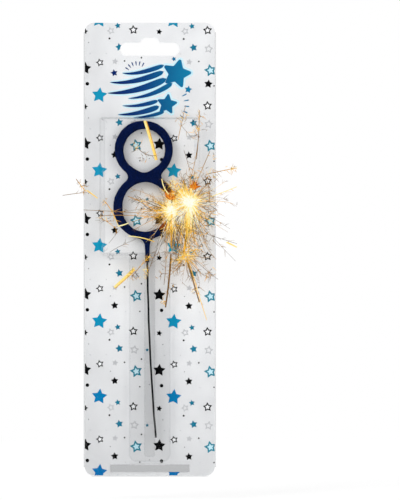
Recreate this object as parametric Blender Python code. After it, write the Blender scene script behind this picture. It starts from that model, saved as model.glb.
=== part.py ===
"""Number sparkler candle in its clear hanging pack, at real size in metres.

A card slides between the folded rails of a clear formed cover. The cover's bubble holds
the digit of a cake sparkler, an 8 of dark coating on a bent wire, and its stepped channel
holds the wire's stick.

X runs across the pack and Z up it. The front faces -Y, the card's front face is the plane
Y = 0, and the origin is the centre of the hang slot.
"""

import math

import bmesh
import bpy
from mathutils import Vector

# Clear sheet, and the play that a sliding piece has
SHEET_WALL = 0.00035
CARD_PLAY = 0.0003
PACK_CORNER_RADIUS = 0.0053
FOLD_RADIUS = 0.00022
RAIL_WIDTH = 0.0060
BOTTOM_FOLD_WIDTH = 0.0022

# Card and its two slots
CARD_THICKNESS = 0.00045
CARD_CORNER_RADIUS = 0.0050
CARD_SLOT_ROOM = 0.0005
CARD_HEAD = 0.0147
FOOT_SLOT_WIDTH = 0.0440
FOOT_SLOT_HEIGHT = 0.0040
FOOT_SLOT_RADIUS = 0.0006
FOOT_SLOT_ABOVE_FOLD = 0.0004

# Hang slot, a round-ended bar with a dome that finds the middle of a peg
HANG_BAR_WIDTH = 0.0320
HANG_BAR_HEIGHT = 0.0065
HANG_DOME_WIDTH = 0.0104
HANG_DOME_CROWN_WIDTH = 0.0066
HANG_DOME_RISE = 0.0028
HANG_DOME_RADIUS = 0.0030
HANG_DOME_FOOT_RADIUS = 0.0010
HANG_END_ROUND_SHARE = 0.96

# Digit, seen from the front, with its centre at the waist
UPPER_RING_RADIUS = 0.0160
UPPER_HOLE_RADIUS = 0.0118
UPPER_HOLE_TIP_RADIUS = 0.0060
UPPER_HOLE_TIP_DROP = 0.00675
UPPER_RING_RISE = 0.0151
LOWER_RING_RADIUS = 0.0178
LOWER_HOLE_RADIUS = 0.0131
LOWER_HOLE_STRETCH = 0.0008
LOWER_RING_DROP = 0.0167
WAIST_FILLET_RADIUS = 0.0034
COATING_THICKNESS = 0.0044
COATING_EDGE_RADIUS = 0.0012

# Neck, where the coating runs out along the stick
NECK_SHIFT = 0.0008
NECK_FLARE_RADIUS = 0.0045
NECK_RADIUS = 0.00130
NECK_END_RADIUS = 0.00112
NECK_EDGE_SHARE = 0.85
NECK_TAPER = 0.0032
NECK_LENGTH = 0.0091

# Wire, one length bent into the core of the digit and the stick
WIRE_DIAMETER = 0.0011
WIRE_CLEARANCE = 0.0003
WIRE_CROSSING_DEPTH = 0.0010
WIRE_CROSSING_REACH = 0.0130
WIRE_BEND_RADIUS = 0.0030
WIRE_END_GAP = 0.0037
STICK_LENGTH = 0.1105
STICK_TOP_DEGREES = -1.1
STICK_TIP_DEGREES = 3.7

# How the sparkler lies in the cover
DIGIT_LEAN_DEGREES = 1.2
DIGIT_SHIFT = -0.0029
DIGIT_BACK_GAP = 0.0003

# Bubble round the digit, measured at its foot on the sheet
HEAD_LENGTH = 0.0380
BUBBLE_TOP_ROOM = 0.0020
BUBBLE_BOTTOM_ROOM = 0.0095
BUBBLE_SIDE_ROOM = 0.0100
BUBBLE_FRONT_ROOM = 0.0032
BUBBLE_SIDE_RUN = 0.0028
BUBBLE_TOP_RUN = 0.0008
BUBBLE_BOTTOM_RUN = 0.0016
BUBBLE_TOP_CORNER_RADIUS = 0.0014
BUBBLE_BOTTOM_CORNER_RADIUS = 0.0032
BUBBLE_RIM_RADIUS = 0.0011
PACK_BORDER = 0.0090

# Stick channel, a broad step with a deeper groove along its middle
GROOVE_SIDE_ROOM = 0.00218
GROOVE_RISE = 0.0024
GROOVE_RUN = 0.0004
GROOVE_RADIUS = 0.0016
GROOVE_RIM_RADIUS = 0.0006
GROOVE_TIP_ROOM = 0.0108
STEP_LEDGE = 0.0084
STEP_FRONT_ROOM = 0.00035
STEP_RUN = 0.0006
STEP_RADIUS = 0.0045
STEP_RIM_RADIUS = 0.0006
STEP_TIP_ROOM = 0.0028
CHANNEL_LAP = 0.0050
PACK_FOOT = 0.0082

# Raised ribs that stiffen the groove
RIB_RISE = 0.0006
RIB_WIDTH = 0.0016
RIB_INSET = 0.0012
RIB_RADIUS = 0.0004
RIB_PLACE_SHARES = (0.527, 0.826)

# Cutting tools run past the faces they cut by this much
OVERRUN = 0.0010

# Points nearer than this are one point, which is far below any facet
WELD_DISTANCE = SHEET_WALL / 100

# Facets of round stretches
ARC_STEP_DEGREES = 9
FINE_ARC_STEP_DEGREES = 8
CORNER_SEGMENTS = 5
RIM_SEGMENTS = 3
STICK_SEGMENTS = 12
CROSSING_SEGMENTS = 6
NECK_SEGMENTS = 5
TUBE_RESOLUTION = 2

# Places that follow from the sizes above
WIRE_RADIUS = WIRE_DIAMETER / 2
DIGIT_LEAN = math.radians(DIGIT_LEAN_DEGREES)
COATING_HALF = COATING_THICKNESS / 2
SPARKLER_Y = -DIGIT_BACK_GAP - COATING_HALF
SHEET_FRONT = -CARD_PLAY - SHEET_WALL
SHEET_BACK = -CARD_PLAY
RAIL_FRONT = CARD_THICKNESS + CARD_PLAY
RAIL_BACK = RAIL_FRONT + SHEET_WALL
UPPER_CENTRE = Vector((0, UPPER_RING_RISE))
LOWER_CENTRE = Vector((0, -LOWER_RING_DROP))
UPPER_CORE_RADIUS = (UPPER_RING_RADIUS + UPPER_HOLE_RADIUS) / 2
LOWER_CORE_RADIUS = (LOWER_RING_RADIUS + LOWER_HOLE_RADIUS) / 2
FLARE_REACH = LOWER_RING_RADIUS + NECK_FLARE_RADIUS
FLARE_SIDE = NECK_RADIUS + NECK_FLARE_RADIUS
FLARE_NEAREST = min(abs(NECK_SHIFT + FLARE_SIDE), abs(NECK_SHIFT - FLARE_SIDE))
NECK_TOP = LOWER_CENTRE.y - math.sqrt(FLARE_REACH**2 - FLARE_NEAREST**2)
NECK_BOTTOM = NECK_TOP - NECK_LENGTH
STICK_TOP = LOWER_CENTRE.y - LOWER_RING_RADIUS
BUBBLE_TOP = -HEAD_LENGTH
DIGIT_Z = BUBBLE_TOP - BUBBLE_TOP_ROOM - UPPER_RING_RISE - UPPER_RING_RADIUS
BUBBLE_BOTTOM = DIGIT_Z + STICK_TOP - BUBBLE_BOTTOM_ROOM
BUBBLE_HALF = LOWER_RING_RADIUS + BUBBLE_SIDE_ROOM
BUBBLE_RISE = DIGIT_BACK_GAP + COATING_THICKNESS + BUBBLE_FRONT_ROOM
PACK_HALF = BUBBLE_HALF + PACK_BORDER
GROOVE_HALF = NECK_END_RADIUS + GROOVE_SIDE_ROOM
STEP_HALF = GROOVE_HALF + STEP_LEDGE
STEP_RISE = SHEET_FRONT - SPARKLER_Y + WIRE_RADIUS + STEP_FRONT_ROOM + SHEET_WALL
CHANNEL_TOP = BUBBLE_BOTTOM + CHANNEL_LAP
CARD_HALF = PACK_HALF - SHEET_WALL - CARD_PLAY


def arc(centre, radius, start, end, step=ARC_STEP_DEGREES):
    """Points of a circle's arc from one angle to another, in degrees, both ends included."""
    count = max(1, math.ceil(abs(end - start) / step))
    angles = [math.radians(start + (end - start) * i / count) for i in range(count + 1)]
    return [centre + Vector((math.cos(a), math.sin(a))) * radius for a in angles]


def angle_of(offset):
    return math.degrees(math.atan2(offset.y, offset.x))


def rounded(corners, radii, step=FINE_ARC_STEP_DEGREES):
    """An anticlockwise polygon with each corner replaced by an arc of its own radius."""
    points = []
    for i, (corner, radius) in enumerate(zip(corners, radii)):
        before = (corners[i - 1] - corner).normalized()
        after = (corners[(i + 1) % len(corners)] - corner).normalized()
        half = before.angle(after) / 2
        centre = corner + (before + after).normalized() * (radius / math.sin(half))
        first = angle_of(corner + before * (radius / math.tan(half)) - centre)
        sweep = 180 - math.degrees(2 * half)
        turn = sweep if before.cross(after) < 0 else -sweep
        points += arc(centre, radius, first, first + turn, step)
    return points


def rectangle(half_width, low, high, low_radius, high_radius):
    """An upright rectangle about X = 0 with rounded corners."""
    corners = [(-half_width, low), (half_width, low), (half_width, high), (-half_width, high)]
    radii = [low_radius, low_radius, high_radius, high_radius]
    return rounded([Vector(c) for c in corners], radii)


def hang_outline(room):
    """The hang slot's outline, wider by some room on every side."""
    bar = HANG_BAR_WIDTH / 2 + room
    half = HANG_BAR_HEIGHT / 2 + room
    foot = HANG_DOME_WIDTH / 2 + room
    crown = HANG_DOME_CROWN_WIDTH / 2 + room
    top = half + HANG_DOME_RISE
    corners = [(-bar, -half), (bar, -half), (bar, half), (foot, half), (crown, top)]
    corners += [(-crown, top), (-foot, half), (-bar, half)]
    end = half * HANG_END_ROUND_SHARE
    side = [end, end, HANG_DOME_FOOT_RADIUS, HANG_DOME_RADIUS]
    return rounded([Vector(c) for c in corners], [end, *side, *reversed(side[1:])])


def hull_of_circles(upper, upper_radius, lower, lower_radius):
    """The outline of a band stretched round two circles, one above the other."""
    slant = math.degrees(math.asin((upper_radius - lower_radius) / (upper.y - lower.y)))
    top = arc(upper, upper_radius, -slant, 180 + slant)
    return top + arc(lower, lower_radius, 180 + slant, 360 - slant)


def waist_fillet():
    """Centre of the fillet, on the right, that touches both rings from outside."""
    lower = LOWER_RING_RADIUS + WAIST_FILLET_RADIUS
    upper = UPPER_RING_RADIUS + WAIST_FILLET_RADIUS
    span = UPPER_CENTRE.y - LOWER_CENTRE.y
    along = (lower**2 - upper**2 + span**2) / (2 * span)
    return LOWER_CENTRE + Vector((math.sqrt(lower**2 - along**2), along))


def flare_centre(side):
    """Centre of the concave flare that joins the neck to the lower ring, on one side."""
    across = NECK_SHIFT + side * FLARE_SIDE
    return LOWER_CENTRE + Vector((across, -math.sqrt(FLARE_REACH**2 - across**2)))


def neck_half(distance):
    """Half the neck's width at a distance below the ring, which tapers and then holds."""
    share = (distance - STICK_TOP + NECK_TOP) / NECK_TAPER
    return NECK_RADIUS + (NECK_END_RADIUS - NECK_RADIUS) * min(1, max(0, share))


def neck_side(side):
    """One side of the neck's outline along the stick, from its foot up to the flare."""
    top = STICK_TOP - NECK_TOP
    bottom = STICK_TOP - NECK_BOTTOM
    count = NECK_SEGMENTS
    places = [bottom + (top - bottom) * i / count for i in range(count)]
    return [stick_point(p) + Vector((side * neck_half(p), 0)) for p in places]


def digit_outline():
    """The outside of the 8 with its flared neck, anticlockwise from the neck's right foot."""
    waist = waist_fillet()
    flare = flare_centre(1)
    points = neck_side(1)
    reach = angle_of(LOWER_CENTRE - flare)
    points += arc(flare, NECK_FLARE_RADIUS, 180, reach, FINE_ARC_STEP_DEGREES)
    start = angle_of(flare - LOWER_CENTRE)
    middle = angle_of(waist - LOWER_CENTRE)
    points += arc(LOWER_CENTRE, LOWER_RING_RADIUS, start, middle)[1:-1]
    low = angle_of(LOWER_CENTRE - waist)
    high = angle_of(UPPER_CENTRE - waist)
    right_waist = arc(waist, WAIST_FILLET_RADIUS, low % 360, high)
    points += right_waist
    top = angle_of(waist - UPPER_CENTRE)
    points += arc(UPPER_CENTRE, UPPER_RING_RADIUS, top, 180 - top)[1:-1]
    points += [Vector((-p.x, p.y)) for p in reversed(right_waist)]
    flare = flare_centre(-1)
    end = angle_of(flare - LOWER_CENTRE) % 360
    points += arc(LOWER_CENTRE, LOWER_RING_RADIUS, 180 - middle, end)[1:-1]
    reach = angle_of(LOWER_CENTRE - flare)
    points += arc(flare, NECK_FLARE_RADIUS, reach, 0, FINE_ARC_STEP_DEGREES)
    return points + neck_side(-1)[::-1]


def stick_point(distance):
    """A point of the stick below the digit, whose slant grows evenly down its length."""
    slant = math.radians(STICK_TOP_DEGREES) * distance
    growth = math.radians(STICK_TIP_DEGREES - STICK_TOP_DEGREES)
    slant += growth * distance**2 / (2 * STICK_LENGTH)
    return Vector((NECK_SHIFT + slant, STICK_TOP - distance))


def turned(point):
    """A point of the leaning digit's own plane, as X and Z of the pack."""
    across = point.x * math.cos(DIGIT_LEAN) - point.y * math.sin(DIGIT_LEAN)
    up = point.x * math.sin(DIGIT_LEAN) + point.y * math.cos(DIGIT_LEAN)
    return Vector((DIGIT_SHIFT + across, DIGIT_Z + up))


TIP_Z = turned(stick_point(STICK_LENGTH)).y
GROOVE_BOTTOM = TIP_Z - GROOVE_TIP_ROOM
STEP_BOTTOM = GROOVE_BOTTOM - STEP_TIP_ROOM
PACK_TOP = CARD_HEAD
PACK_BOTTOM = STEP_BOTTOM - PACK_FOOT
CARD_BOTTOM = PACK_BOTTOM + SHEET_WALL + CARD_PLAY


def wire_core():
    """The bent wire inside the digit, from the neck round the 8 to its cut end.

    It rises through the neck, turns into the lower ring's right side, crosses the waist to
    the upper ring's left side, runs over the top, crosses back and ends beside the neck.
    """
    bend_reach = LOWER_CORE_RADIUS + WIRE_BEND_RADIUS
    bend_side = NECK_SHIFT + WIRE_BEND_RADIUS
    bend_drop = math.sqrt(bend_reach**2 - bend_side**2)
    bend = LOWER_CENTRE + Vector((bend_side, -bend_drop))
    join = angle_of(bend - LOWER_CENTRE)
    span = UPPER_CENTRE.y - LOWER_CENTRE.y
    slope = math.degrees(math.acos((UPPER_CORE_RADIUS + LOWER_CORE_RADIUS) / span))
    side = 90 - slope
    reach = angle_of(LOWER_CENTRE - bend)
    points = arc(bend, WIRE_BEND_RADIUS, 180, reach, 2 * ARC_STEP_DEGREES)
    right = arc(LOWER_CENTRE, LOWER_CORE_RADIUS, join, side)
    top = arc(UPPER_CENTRE, UPPER_CORE_RADIUS, 180 + side, -side)
    end = 270 - math.degrees(WIRE_END_GAP / LOWER_CORE_RADIUS)
    left = arc(LOWER_CENTRE, LOWER_CORE_RADIUS, 180 - side, end)
    points += right[1:] + between(right[-1], top[0]) + top
    back = between(top[-1], left[0]) + left
    front_points = [at_depth(p, -WIRE_CROSSING_DEPTH) for p in points]
    split = len(points) - len(top) // 2
    rear_points = [at_depth(p, WIRE_CROSSING_DEPTH) for p in points[split:] + back]
    return front_points[:split] + rear_points


def between(first, last):
    """Points on the straight from one point to another, without its ends."""
    shares = [i / CROSSING_SEGMENTS for i in range(1, CROSSING_SEGMENTS)]
    return [first.lerp(last, share) for share in shares]


def at_depth(point, depth):
    """A point of the digit's plane, moved in depth near the waist, where strands cross."""
    share = min(1, point.length / WIRE_CROSSING_REACH)
    return Vector((point.x, depth * math.cos(share * math.pi / 2) ** 2, point.y))


def stick_points(first, last, segments):
    """Points of the stick between two distances from its top."""
    places = [first + (last - first) * i / segments for i in range(segments + 1)]
    return [Vector((p.x, 0, p.y)) for p in map(stick_point, places)]


def clear_scene():
    for item in list(bpy.data.objects):
        bpy.data.objects.remove(item, do_unlink=True)


def new_collection(name):
    collection = bpy.data.collections.new(name)
    bpy.context.scene.collection.children.link(collection)
    return collection


def plain_material(name, color, roughness, metallic=0.0, alpha=1.0):
    material = bpy.data.materials.new(name)
    material.use_nodes = True
    shader = material.node_tree.nodes["Principled BSDF"]
    shader.inputs["Base Color"].default_value = (*color, 1.0)
    shader.inputs["Roughness"].default_value = roughness
    shader.inputs["Metallic"].default_value = metallic
    shader.inputs["Alpha"].default_value = alpha
    return material


def add_object(name, data, collection, parent=None):
    item = bpy.data.objects.new(name, data)
    collection.objects.link(item)
    item.parent = parent
    return item


def as_mesh(curve_object):
    """Replaces a curve object by a welded mesh object of the same name and place."""
    bpy.context.view_layer.update()
    graph = bpy.context.evaluated_depsgraph_get()
    mesh = bpy.data.meshes.new_from_object(curve_object.evaluated_get(graph))
    name = curve_object.name
    collection = curve_object.users_collection[0]
    place = curve_object.matrix_local.copy()
    parent = curve_object.parent
    bpy.data.objects.remove(curve_object, do_unlink=True)
    shell = bmesh.new()
    shell.from_mesh(mesh)
    bmesh.ops.remove_doubles(shell, verts=shell.verts, dist=WELD_DISTANCE)
    bmesh.ops.recalc_face_normals(shell, faces=shell.faces)
    shell.to_mesh(mesh)
    shell.free()
    item = add_object(name, mesh, collection, parent)
    item.matrix_local = place
    return item


def flat_solid(name, outlines, front, back, collection, edge_radius=0.0, parent=None):
    """A plate between two depths: the first outline is its edge, the others are holes."""
    curve = bpy.data.curves.new(name, "CURVE")
    curve.dimensions = "2D"
    curve.fill_mode = "BOTH"
    curve.extrude = (back - front) / 2 - edge_radius
    curve.bevel_depth = edge_radius
    curve.bevel_resolution = RIM_SEGMENTS - 1
    curve.offset = -edge_radius
    for number, outline in enumerate(outlines):
        points = outline if number == 0 else list(reversed(outline))
        spline = curve.splines.new("POLY")
        spline.points.add(len(points) - 1)
        for place, point in zip(spline.points, points):
            place.co = (point.x, point.y, 0, 1)
        spline.use_cyclic_u = True
    item = add_object(name, curve, collection, parent)
    item.rotation_euler.x = math.pi / 2
    item.location.y = (front + back) / 2
    return as_mesh(item)


def tube(name, points, radius, collection, parent=None):
    """A round bar along points."""
    curve = bpy.data.curves.new(name, "CURVE")
    curve.dimensions = "3D"
    curve.bevel_depth = radius
    curve.bevel_resolution = TUBE_RESOLUTION
    curve.use_fill_caps = True
    spline = curve.splines.new("POLY")
    spline.points.add(len(points) - 1)
    for place, point in zip(spline.points, points):
        place.co = (*point, 1)
    return add_object(name, curve, collection, parent)


def round_edges(shell, edges, radius, segments):
    if radius > 0:
        bmesh.ops.bevel(
            shell,
            geom=edges,
            offset=radius,
            segments=segments,
            profile=0.5,
            affect="EDGES",
            clamp_overlap=True,
        )


def draft_block(name, sides, ends, rise, foot, runs, radii, rim_radius, collection):
    """A formed block that stands forward of the sheet's front face and narrows as it rises.

    sides and ends are its low and high X and Z at that face, foot is how far it reaches
    behind the face, runs are how much each side (left, right, bottom, top) leans in for
    each unit of rise, and radii round its bottom and top corners.
    """
    left, right, bottom, top = runs
    shell = bmesh.new()
    bmesh.ops.create_cube(shell, size=1)
    for vert in shell.verts:
        up = rise if vert.co.y < 0 else -foot
        x = sides[0] + left * up if vert.co.x < 0 else sides[1] - right * up
        z = ends[0] + bottom * up if vert.co.z < 0 else ends[1] - top * up
        vert.co = (x, SHEET_FRONT - up, z)
    middle = (ends[0] + ends[1]) / 2
    for is_low, radius in ((True, radii[0]), (False, radii[1])):
        posts = []
        for edge in shell.edges:
            first, last = edge.verts[0].co, edge.verts[1].co
            runs_back = abs(first.y - last.y) > (rise + foot) / 2
            if runs_back and (first.z < middle) == is_low and (last.z < middle) == is_low:
                posts.append(edge)
        round_edges(shell, posts, radius, CORNER_SEGMENTS)
    front = min(shell.faces, key=lambda face: face.calc_center_median().y)
    round_edges(shell, list(front.edges), rim_radius, RIM_SEGMENTS)
    bmesh.ops.recalc_face_normals(shell, faces=shell.faces)
    mesh = bpy.data.meshes.new(name)
    shell.to_mesh(mesh)
    shell.free()
    return add_object(name, mesh, collection)


def formed_pair(name, sides, ends, rise, runs, radii, rim_radius, forms, cavities):
    """The outside of one formed feature of the sheet, and its inside a wall thinner."""
    slopes = [run / rise for run in runs]
    walls = [SHEET_WALL * math.hypot(1, slope) for slope in slopes]
    foot = SHEET_WALL / 2
    draft_block(name, sides, ends, rise, foot, slopes, radii, rim_radius, forms)
    inner_sides = (sides[0] + walls[0], sides[1] - walls[1])
    inner_ends = (ends[0] + walls[2], ends[1] - walls[3])
    inner_radii = [max(0, radius - SHEET_WALL) for radius in radii]
    inner_rim = max(0, rim_radius - SHEET_WALL)
    draft_block(
        name + "_inside",
        inner_sides,
        inner_ends,
        rise - SHEET_WALL,
        -SHEET_FRONT,
        slopes,
        inner_radii,
        inner_rim,
        cavities,
    )


def combine(item, collection, operation):
    """Joins a collection of shapes to an object, or cuts them from it."""
    modifier = item.modifiers.new(operation.lower(), "BOOLEAN")
    modifier.operation = operation
    modifier.operand_type = "COLLECTION"
    modifier.collection = collection
    modifier.solver = "EXACT"
    for shape in collection.objects:
        shape.hide_render = True
        shape.display_type = "WIRE"


def finish(item, material, angle=35):
    """Gives an object its material, and smooth shading up to an angle between facets."""
    item.data.materials.clear()
    item.data.materials.append(material)
    if item.type == "MESH":
        item.data.shade_smooth()
        item.data.set_sharp_from_angle(angle=math.radians(angle))
    return item


def build_card(parts):
    """The flat card with its hang slot, and the foot slot near its bottom edge."""
    edge = rectangle(CARD_HALF, CARD_BOTTOM, PACK_TOP, CARD_CORNER_RADIUS, CARD_CORNER_RADIUS)
    foot_low = PACK_BOTTOM + BOTTOM_FOLD_WIDTH + FOOT_SLOT_ABOVE_FOLD
    foot_high = foot_low + FOOT_SLOT_HEIGHT
    half = FOOT_SLOT_WIDTH / 2
    foot = rectangle(half, foot_low, foot_high, FOOT_SLOT_RADIUS, FOOT_SLOT_RADIUS)
    outlines = [edge, hang_outline(CARD_SLOT_ROOM), foot]
    card = flat_solid("backing_card", outlines, 0, CARD_THICKNESS, parts)
    finish(card, plain_material("white_card", (0.80, 0.80, 0.79), 0.55))


def build_cover(parts, forms, cavities):
    """The clear formed cover: front sheet, bubble, stick channel and folded rails."""
    edge = rectangle(PACK_HALF, PACK_BOTTOM, PACK_TOP, PACK_CORNER_RADIUS, PACK_CORNER_RADIUS)
    cover = flat_solid("clear_cover", [edge], SHEET_FRONT, RAIL_BACK, parts, FOLD_RADIUS)
    side, top, bottom = BUBBLE_SIDE_RUN, BUBBLE_TOP_RUN, BUBBLE_BOTTOM_RUN
    formed_pair(
        "bubble",
        (-BUBBLE_HALF, BUBBLE_HALF),
        (BUBBLE_BOTTOM, BUBBLE_TOP),
        BUBBLE_RISE,
        (side, side, bottom, top),
        (BUBBLE_BOTTOM_CORNER_RADIUS, BUBBLE_TOP_CORNER_RADIUS),
        BUBBLE_RIM_RADIUS,
        forms,
        cavities,
    )
    formed_pair(
        "stick_step",
        (-STEP_HALF, STEP_HALF),
        (STEP_BOTTOM, CHANNEL_TOP),
        STEP_RISE,
        (STEP_RUN, STEP_RUN, STEP_RUN, 0),
        (STEP_RADIUS, 0),
        STEP_RIM_RADIUS,
        forms,
        cavities,
    )
    groove_rise = STEP_RISE + GROOVE_RISE
    formed_pair(
        "stick_groove",
        (-GROOVE_HALF, GROOVE_HALF),
        (GROOVE_BOTTOM, CHANNEL_TOP),
        groove_rise,
        (GROOVE_RUN, GROOVE_RUN, GROOVE_RUN, 0),
        (GROOVE_RADIUS, 0),
        GROOVE_RIM_RADIUS,
        forms,
        cavities,
    )
    rib_half = GROOVE_HALF - RIB_INSET
    for number, share in enumerate(RIB_PLACE_SHARES, 1):
        middle = BUBBLE_BOTTOM + (GROOVE_BOTTOM - BUBBLE_BOTTOM) * share
        formed_pair(
            f"groove_rib_{number}",
            (-rib_half, rib_half),
            (middle - RIB_WIDTH / 2, middle + RIB_WIDTH / 2),
            groove_rise + RIB_RISE,
            (0, 0, 0, 0),
            (0, 0),
            RIB_RADIUS,
            forms,
            cavities,
        )
    combine(cover, forms, "UNION")
    add_card_way(cavities)
    slot = hang_outline(0)
    flat_solid("hang_cutter", [slot], SHEET_FRONT - OVERRUN, RAIL_BACK + OVERRUN, cavities)
    combine(cover, cavities, "DIFFERENCE")
    finish(cover, plain_material("clear_plastic", (0.86, 0.90, 0.92), 0.08, alpha=0.3))


def add_card_way(cavities):
    """The space that the card slides in, the open back, and the notched fold corners."""
    corner = PACK_CORNER_RADIUS - SHEET_WALL
    inside = rectangle(
        PACK_HALF - SHEET_WALL, PACK_BOTTOM + SHEET_WALL, PACK_TOP + OVERRUN, corner, 0
    )
    flat_solid("card_way", [inside], SHEET_BACK, RAIL_FRONT, cavities)
    window = rectangle(
        PACK_HALF - RAIL_WIDTH, PACK_BOTTOM + BOTTOM_FOLD_WIDTH, PACK_TOP + OVERRUN, 0, 0
    )
    flat_solid("open_back", [window], CARD_THICKNESS, RAIL_BACK + OVERRUN, cavities)
    notch = PACK_CORNER_RADIUS
    far = PACK_HALF + OVERRUN
    for side in (-1, 1):
        for end, place in (("bottom", PACK_BOTTOM), ("top", PACK_TOP)):
            name = f"fold_notch_{end}_{'left' if side < 0 else 'right'}"
            near = PACK_HALF - notch
            low = place - OVERRUN if end == "bottom" else place - notch
            high = place + notch if end == "bottom" else place + OVERRUN
            xs = sorted((side * near, side * far))
            corners = [(xs[0], low), (xs[1], low), (xs[1], high), (xs[0], high)]
            outline = [Vector(c) for c in corners]
            flat_solid(name, [outline], SHEET_BACK, RAIL_BACK + OVERRUN, cavities)


def thin_towards_neck(digit):
    """Draws in the digit's front and back below the ring, until the neck is as deep as wide."""
    for vert in digit.data.vertices:
        distance = STICK_TOP - vert.co.y
        share = min(1, max(0, distance / (STICK_TOP - NECK_TOP)))
        ease = share**2 * (3 - 2 * share)
        half = COATING_HALF + ease * (neck_half(distance) - COATING_HALF)
        vert.co.z *= half / COATING_HALF


def build_sparkler(parts, cavities):
    """The bent wire and the coating round it, on an empty that slides in the cover."""
    carrier = add_object("sparkler_carrier", None, parts)
    carrier.location = (DIGIT_SHIFT, SPARKLER_Y, DIGIT_Z)
    carrier.rotation_euler.y = -DIGIT_LEAN
    neck_depth = STICK_TOP - NECK_BOTTOM
    entry = neck_depth + OVERRUN
    stick = stick_points(STICK_LENGTH, entry, STICK_SEGMENTS)
    neck_stretch = stick_points(entry, 0, CROSSING_SEGMENTS)[:-1]
    core = neck_stretch + wire_core()
    wire = tube("sparkler_wire", stick[:-1] + core, WIRE_RADIUS, parts, carrier)
    finish(wire, plain_material("dark_steel_wire", (0.055, 0.055, 0.06), 0.45, 0.85))
    tip = core[-1] + (core[-1] - core[-2]).normalized() * WIRE_CLEARANCE
    bore = WIRE_RADIUS + WIRE_CLEARANCE
    as_mesh(tube("wire_tunnel", core[:-1] + [tip], bore, cavities, carrier))
    upper_tip = UPPER_CENTRE - Vector((0, UPPER_HOLE_TIP_DROP))
    upper_hole = hull_of_circles(
        UPPER_CENTRE, UPPER_HOLE_RADIUS, upper_tip, UPPER_HOLE_TIP_RADIUS
    )
    stretch = Vector((0, LOWER_HOLE_STRETCH))
    lower_hole = hull_of_circles(
        LOWER_CENTRE + stretch, LOWER_HOLE_RADIUS, LOWER_CENTRE - stretch, LOWER_HOLE_RADIUS
    )
    outlines = [digit_outline(), upper_hole, lower_hole]
    edge_radius = min(COATING_EDGE_RADIUS, NECK_END_RADIUS * NECK_EDGE_SHARE)
    coating = flat_solid(
        "sparkler_coating",
        outlines,
        -COATING_HALF,
        COATING_HALF,
        parts,
        edge_radius,
        carrier,
    )
    thin_towards_neck(coating)
    combine(coating, cavities, "DIFFERENCE")
    finish(coating, plain_material("navy_coating", (0.012, 0.022, 0.115), 0.75))


def main():
    clear_scene()
    parts = new_collection("number_sparkler_candle")
    build_card(parts)
    build_cover(parts, new_collection("cover_forms"), new_collection("cover_cavities"))
    build_sparkler(parts, new_collection("digit_cavities"))


main()
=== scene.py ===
"""Looks of a number sparkler in its clear hanging pack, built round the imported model.

Metres, as in the model: X runs across the pack, Z up it, the front faces -Y, and the card's
front face is the plane Y = 0.
"""

import itertools
import math

import bmesh
import bpy
import numpy as np
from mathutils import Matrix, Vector


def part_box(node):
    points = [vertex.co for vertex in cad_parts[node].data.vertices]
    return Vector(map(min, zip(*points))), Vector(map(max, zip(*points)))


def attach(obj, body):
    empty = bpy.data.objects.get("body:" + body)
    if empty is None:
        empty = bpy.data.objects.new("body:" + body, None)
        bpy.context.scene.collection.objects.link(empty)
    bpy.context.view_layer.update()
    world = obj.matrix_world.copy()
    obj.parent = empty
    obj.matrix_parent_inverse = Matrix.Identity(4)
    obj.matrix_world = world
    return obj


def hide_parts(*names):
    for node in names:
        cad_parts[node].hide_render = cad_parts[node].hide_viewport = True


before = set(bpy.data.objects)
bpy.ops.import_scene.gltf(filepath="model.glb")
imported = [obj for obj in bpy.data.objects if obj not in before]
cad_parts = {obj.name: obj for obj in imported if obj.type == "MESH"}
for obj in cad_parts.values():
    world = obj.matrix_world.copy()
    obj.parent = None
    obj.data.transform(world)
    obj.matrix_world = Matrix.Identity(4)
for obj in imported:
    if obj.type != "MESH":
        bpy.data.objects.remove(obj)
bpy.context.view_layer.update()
MM = 0.001

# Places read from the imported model
COVER_LOW, COVER_HIGH = (np.array(corner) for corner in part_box("clear_cover"))
CARD_LOW, CARD_HIGH = (np.array(corner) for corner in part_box("backing_card"))
COATING_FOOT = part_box("sparkler_coating")[0][2]
PACK_HALF = COVER_HIGH[0]
PACK_TOP = COVER_HIGH[2]
PACK_BOTTOM = COVER_LOW[2]
RAIL_BACK = COVER_HIGH[1]

# Clear sheet and its folds
SHEET_WALL = 0.35 * MM
SHEET_FRONT = -0.65 * MM
PACK_CORNER_RADIUS = 5.3 * MM
FOLD_RADIUS = 0.55 * MM
RAIL_WIDTH = 6.0 * MM
BOTTOM_FOLD_WIDTH = 2.2 * MM
RAIL_INSIDE = PACK_HALF - RAIL_WIDTH

# Where the sheet's flat part ends at the sides and at the foot, and where its upper corners start
SHEET_EDGE = PACK_HALF - FOLD_RADIUS
SHEET_LOW = PACK_BOTTOM + FOLD_RADIUS
CORNER_START = PACK_TOP - PACK_CORNER_RADIUS

# Hang slot, a round-ended bar with a dome over its middle: X, Z and radius of each corner in mm,
# anticlockwise from the lower left
HANG_CORNERS = (
    (-16.0, -3.25, 3.12), (16.0, -3.25, 3.12), (16.0, 3.25, 3.12), (5.2, 3.25, 1.0),
    (3.3, 6.05, 3.0), (-3.3, 6.05, 3.0), (-5.2, 3.25, 1.0), (-16.0, 3.25, 3.12),
)

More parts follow.
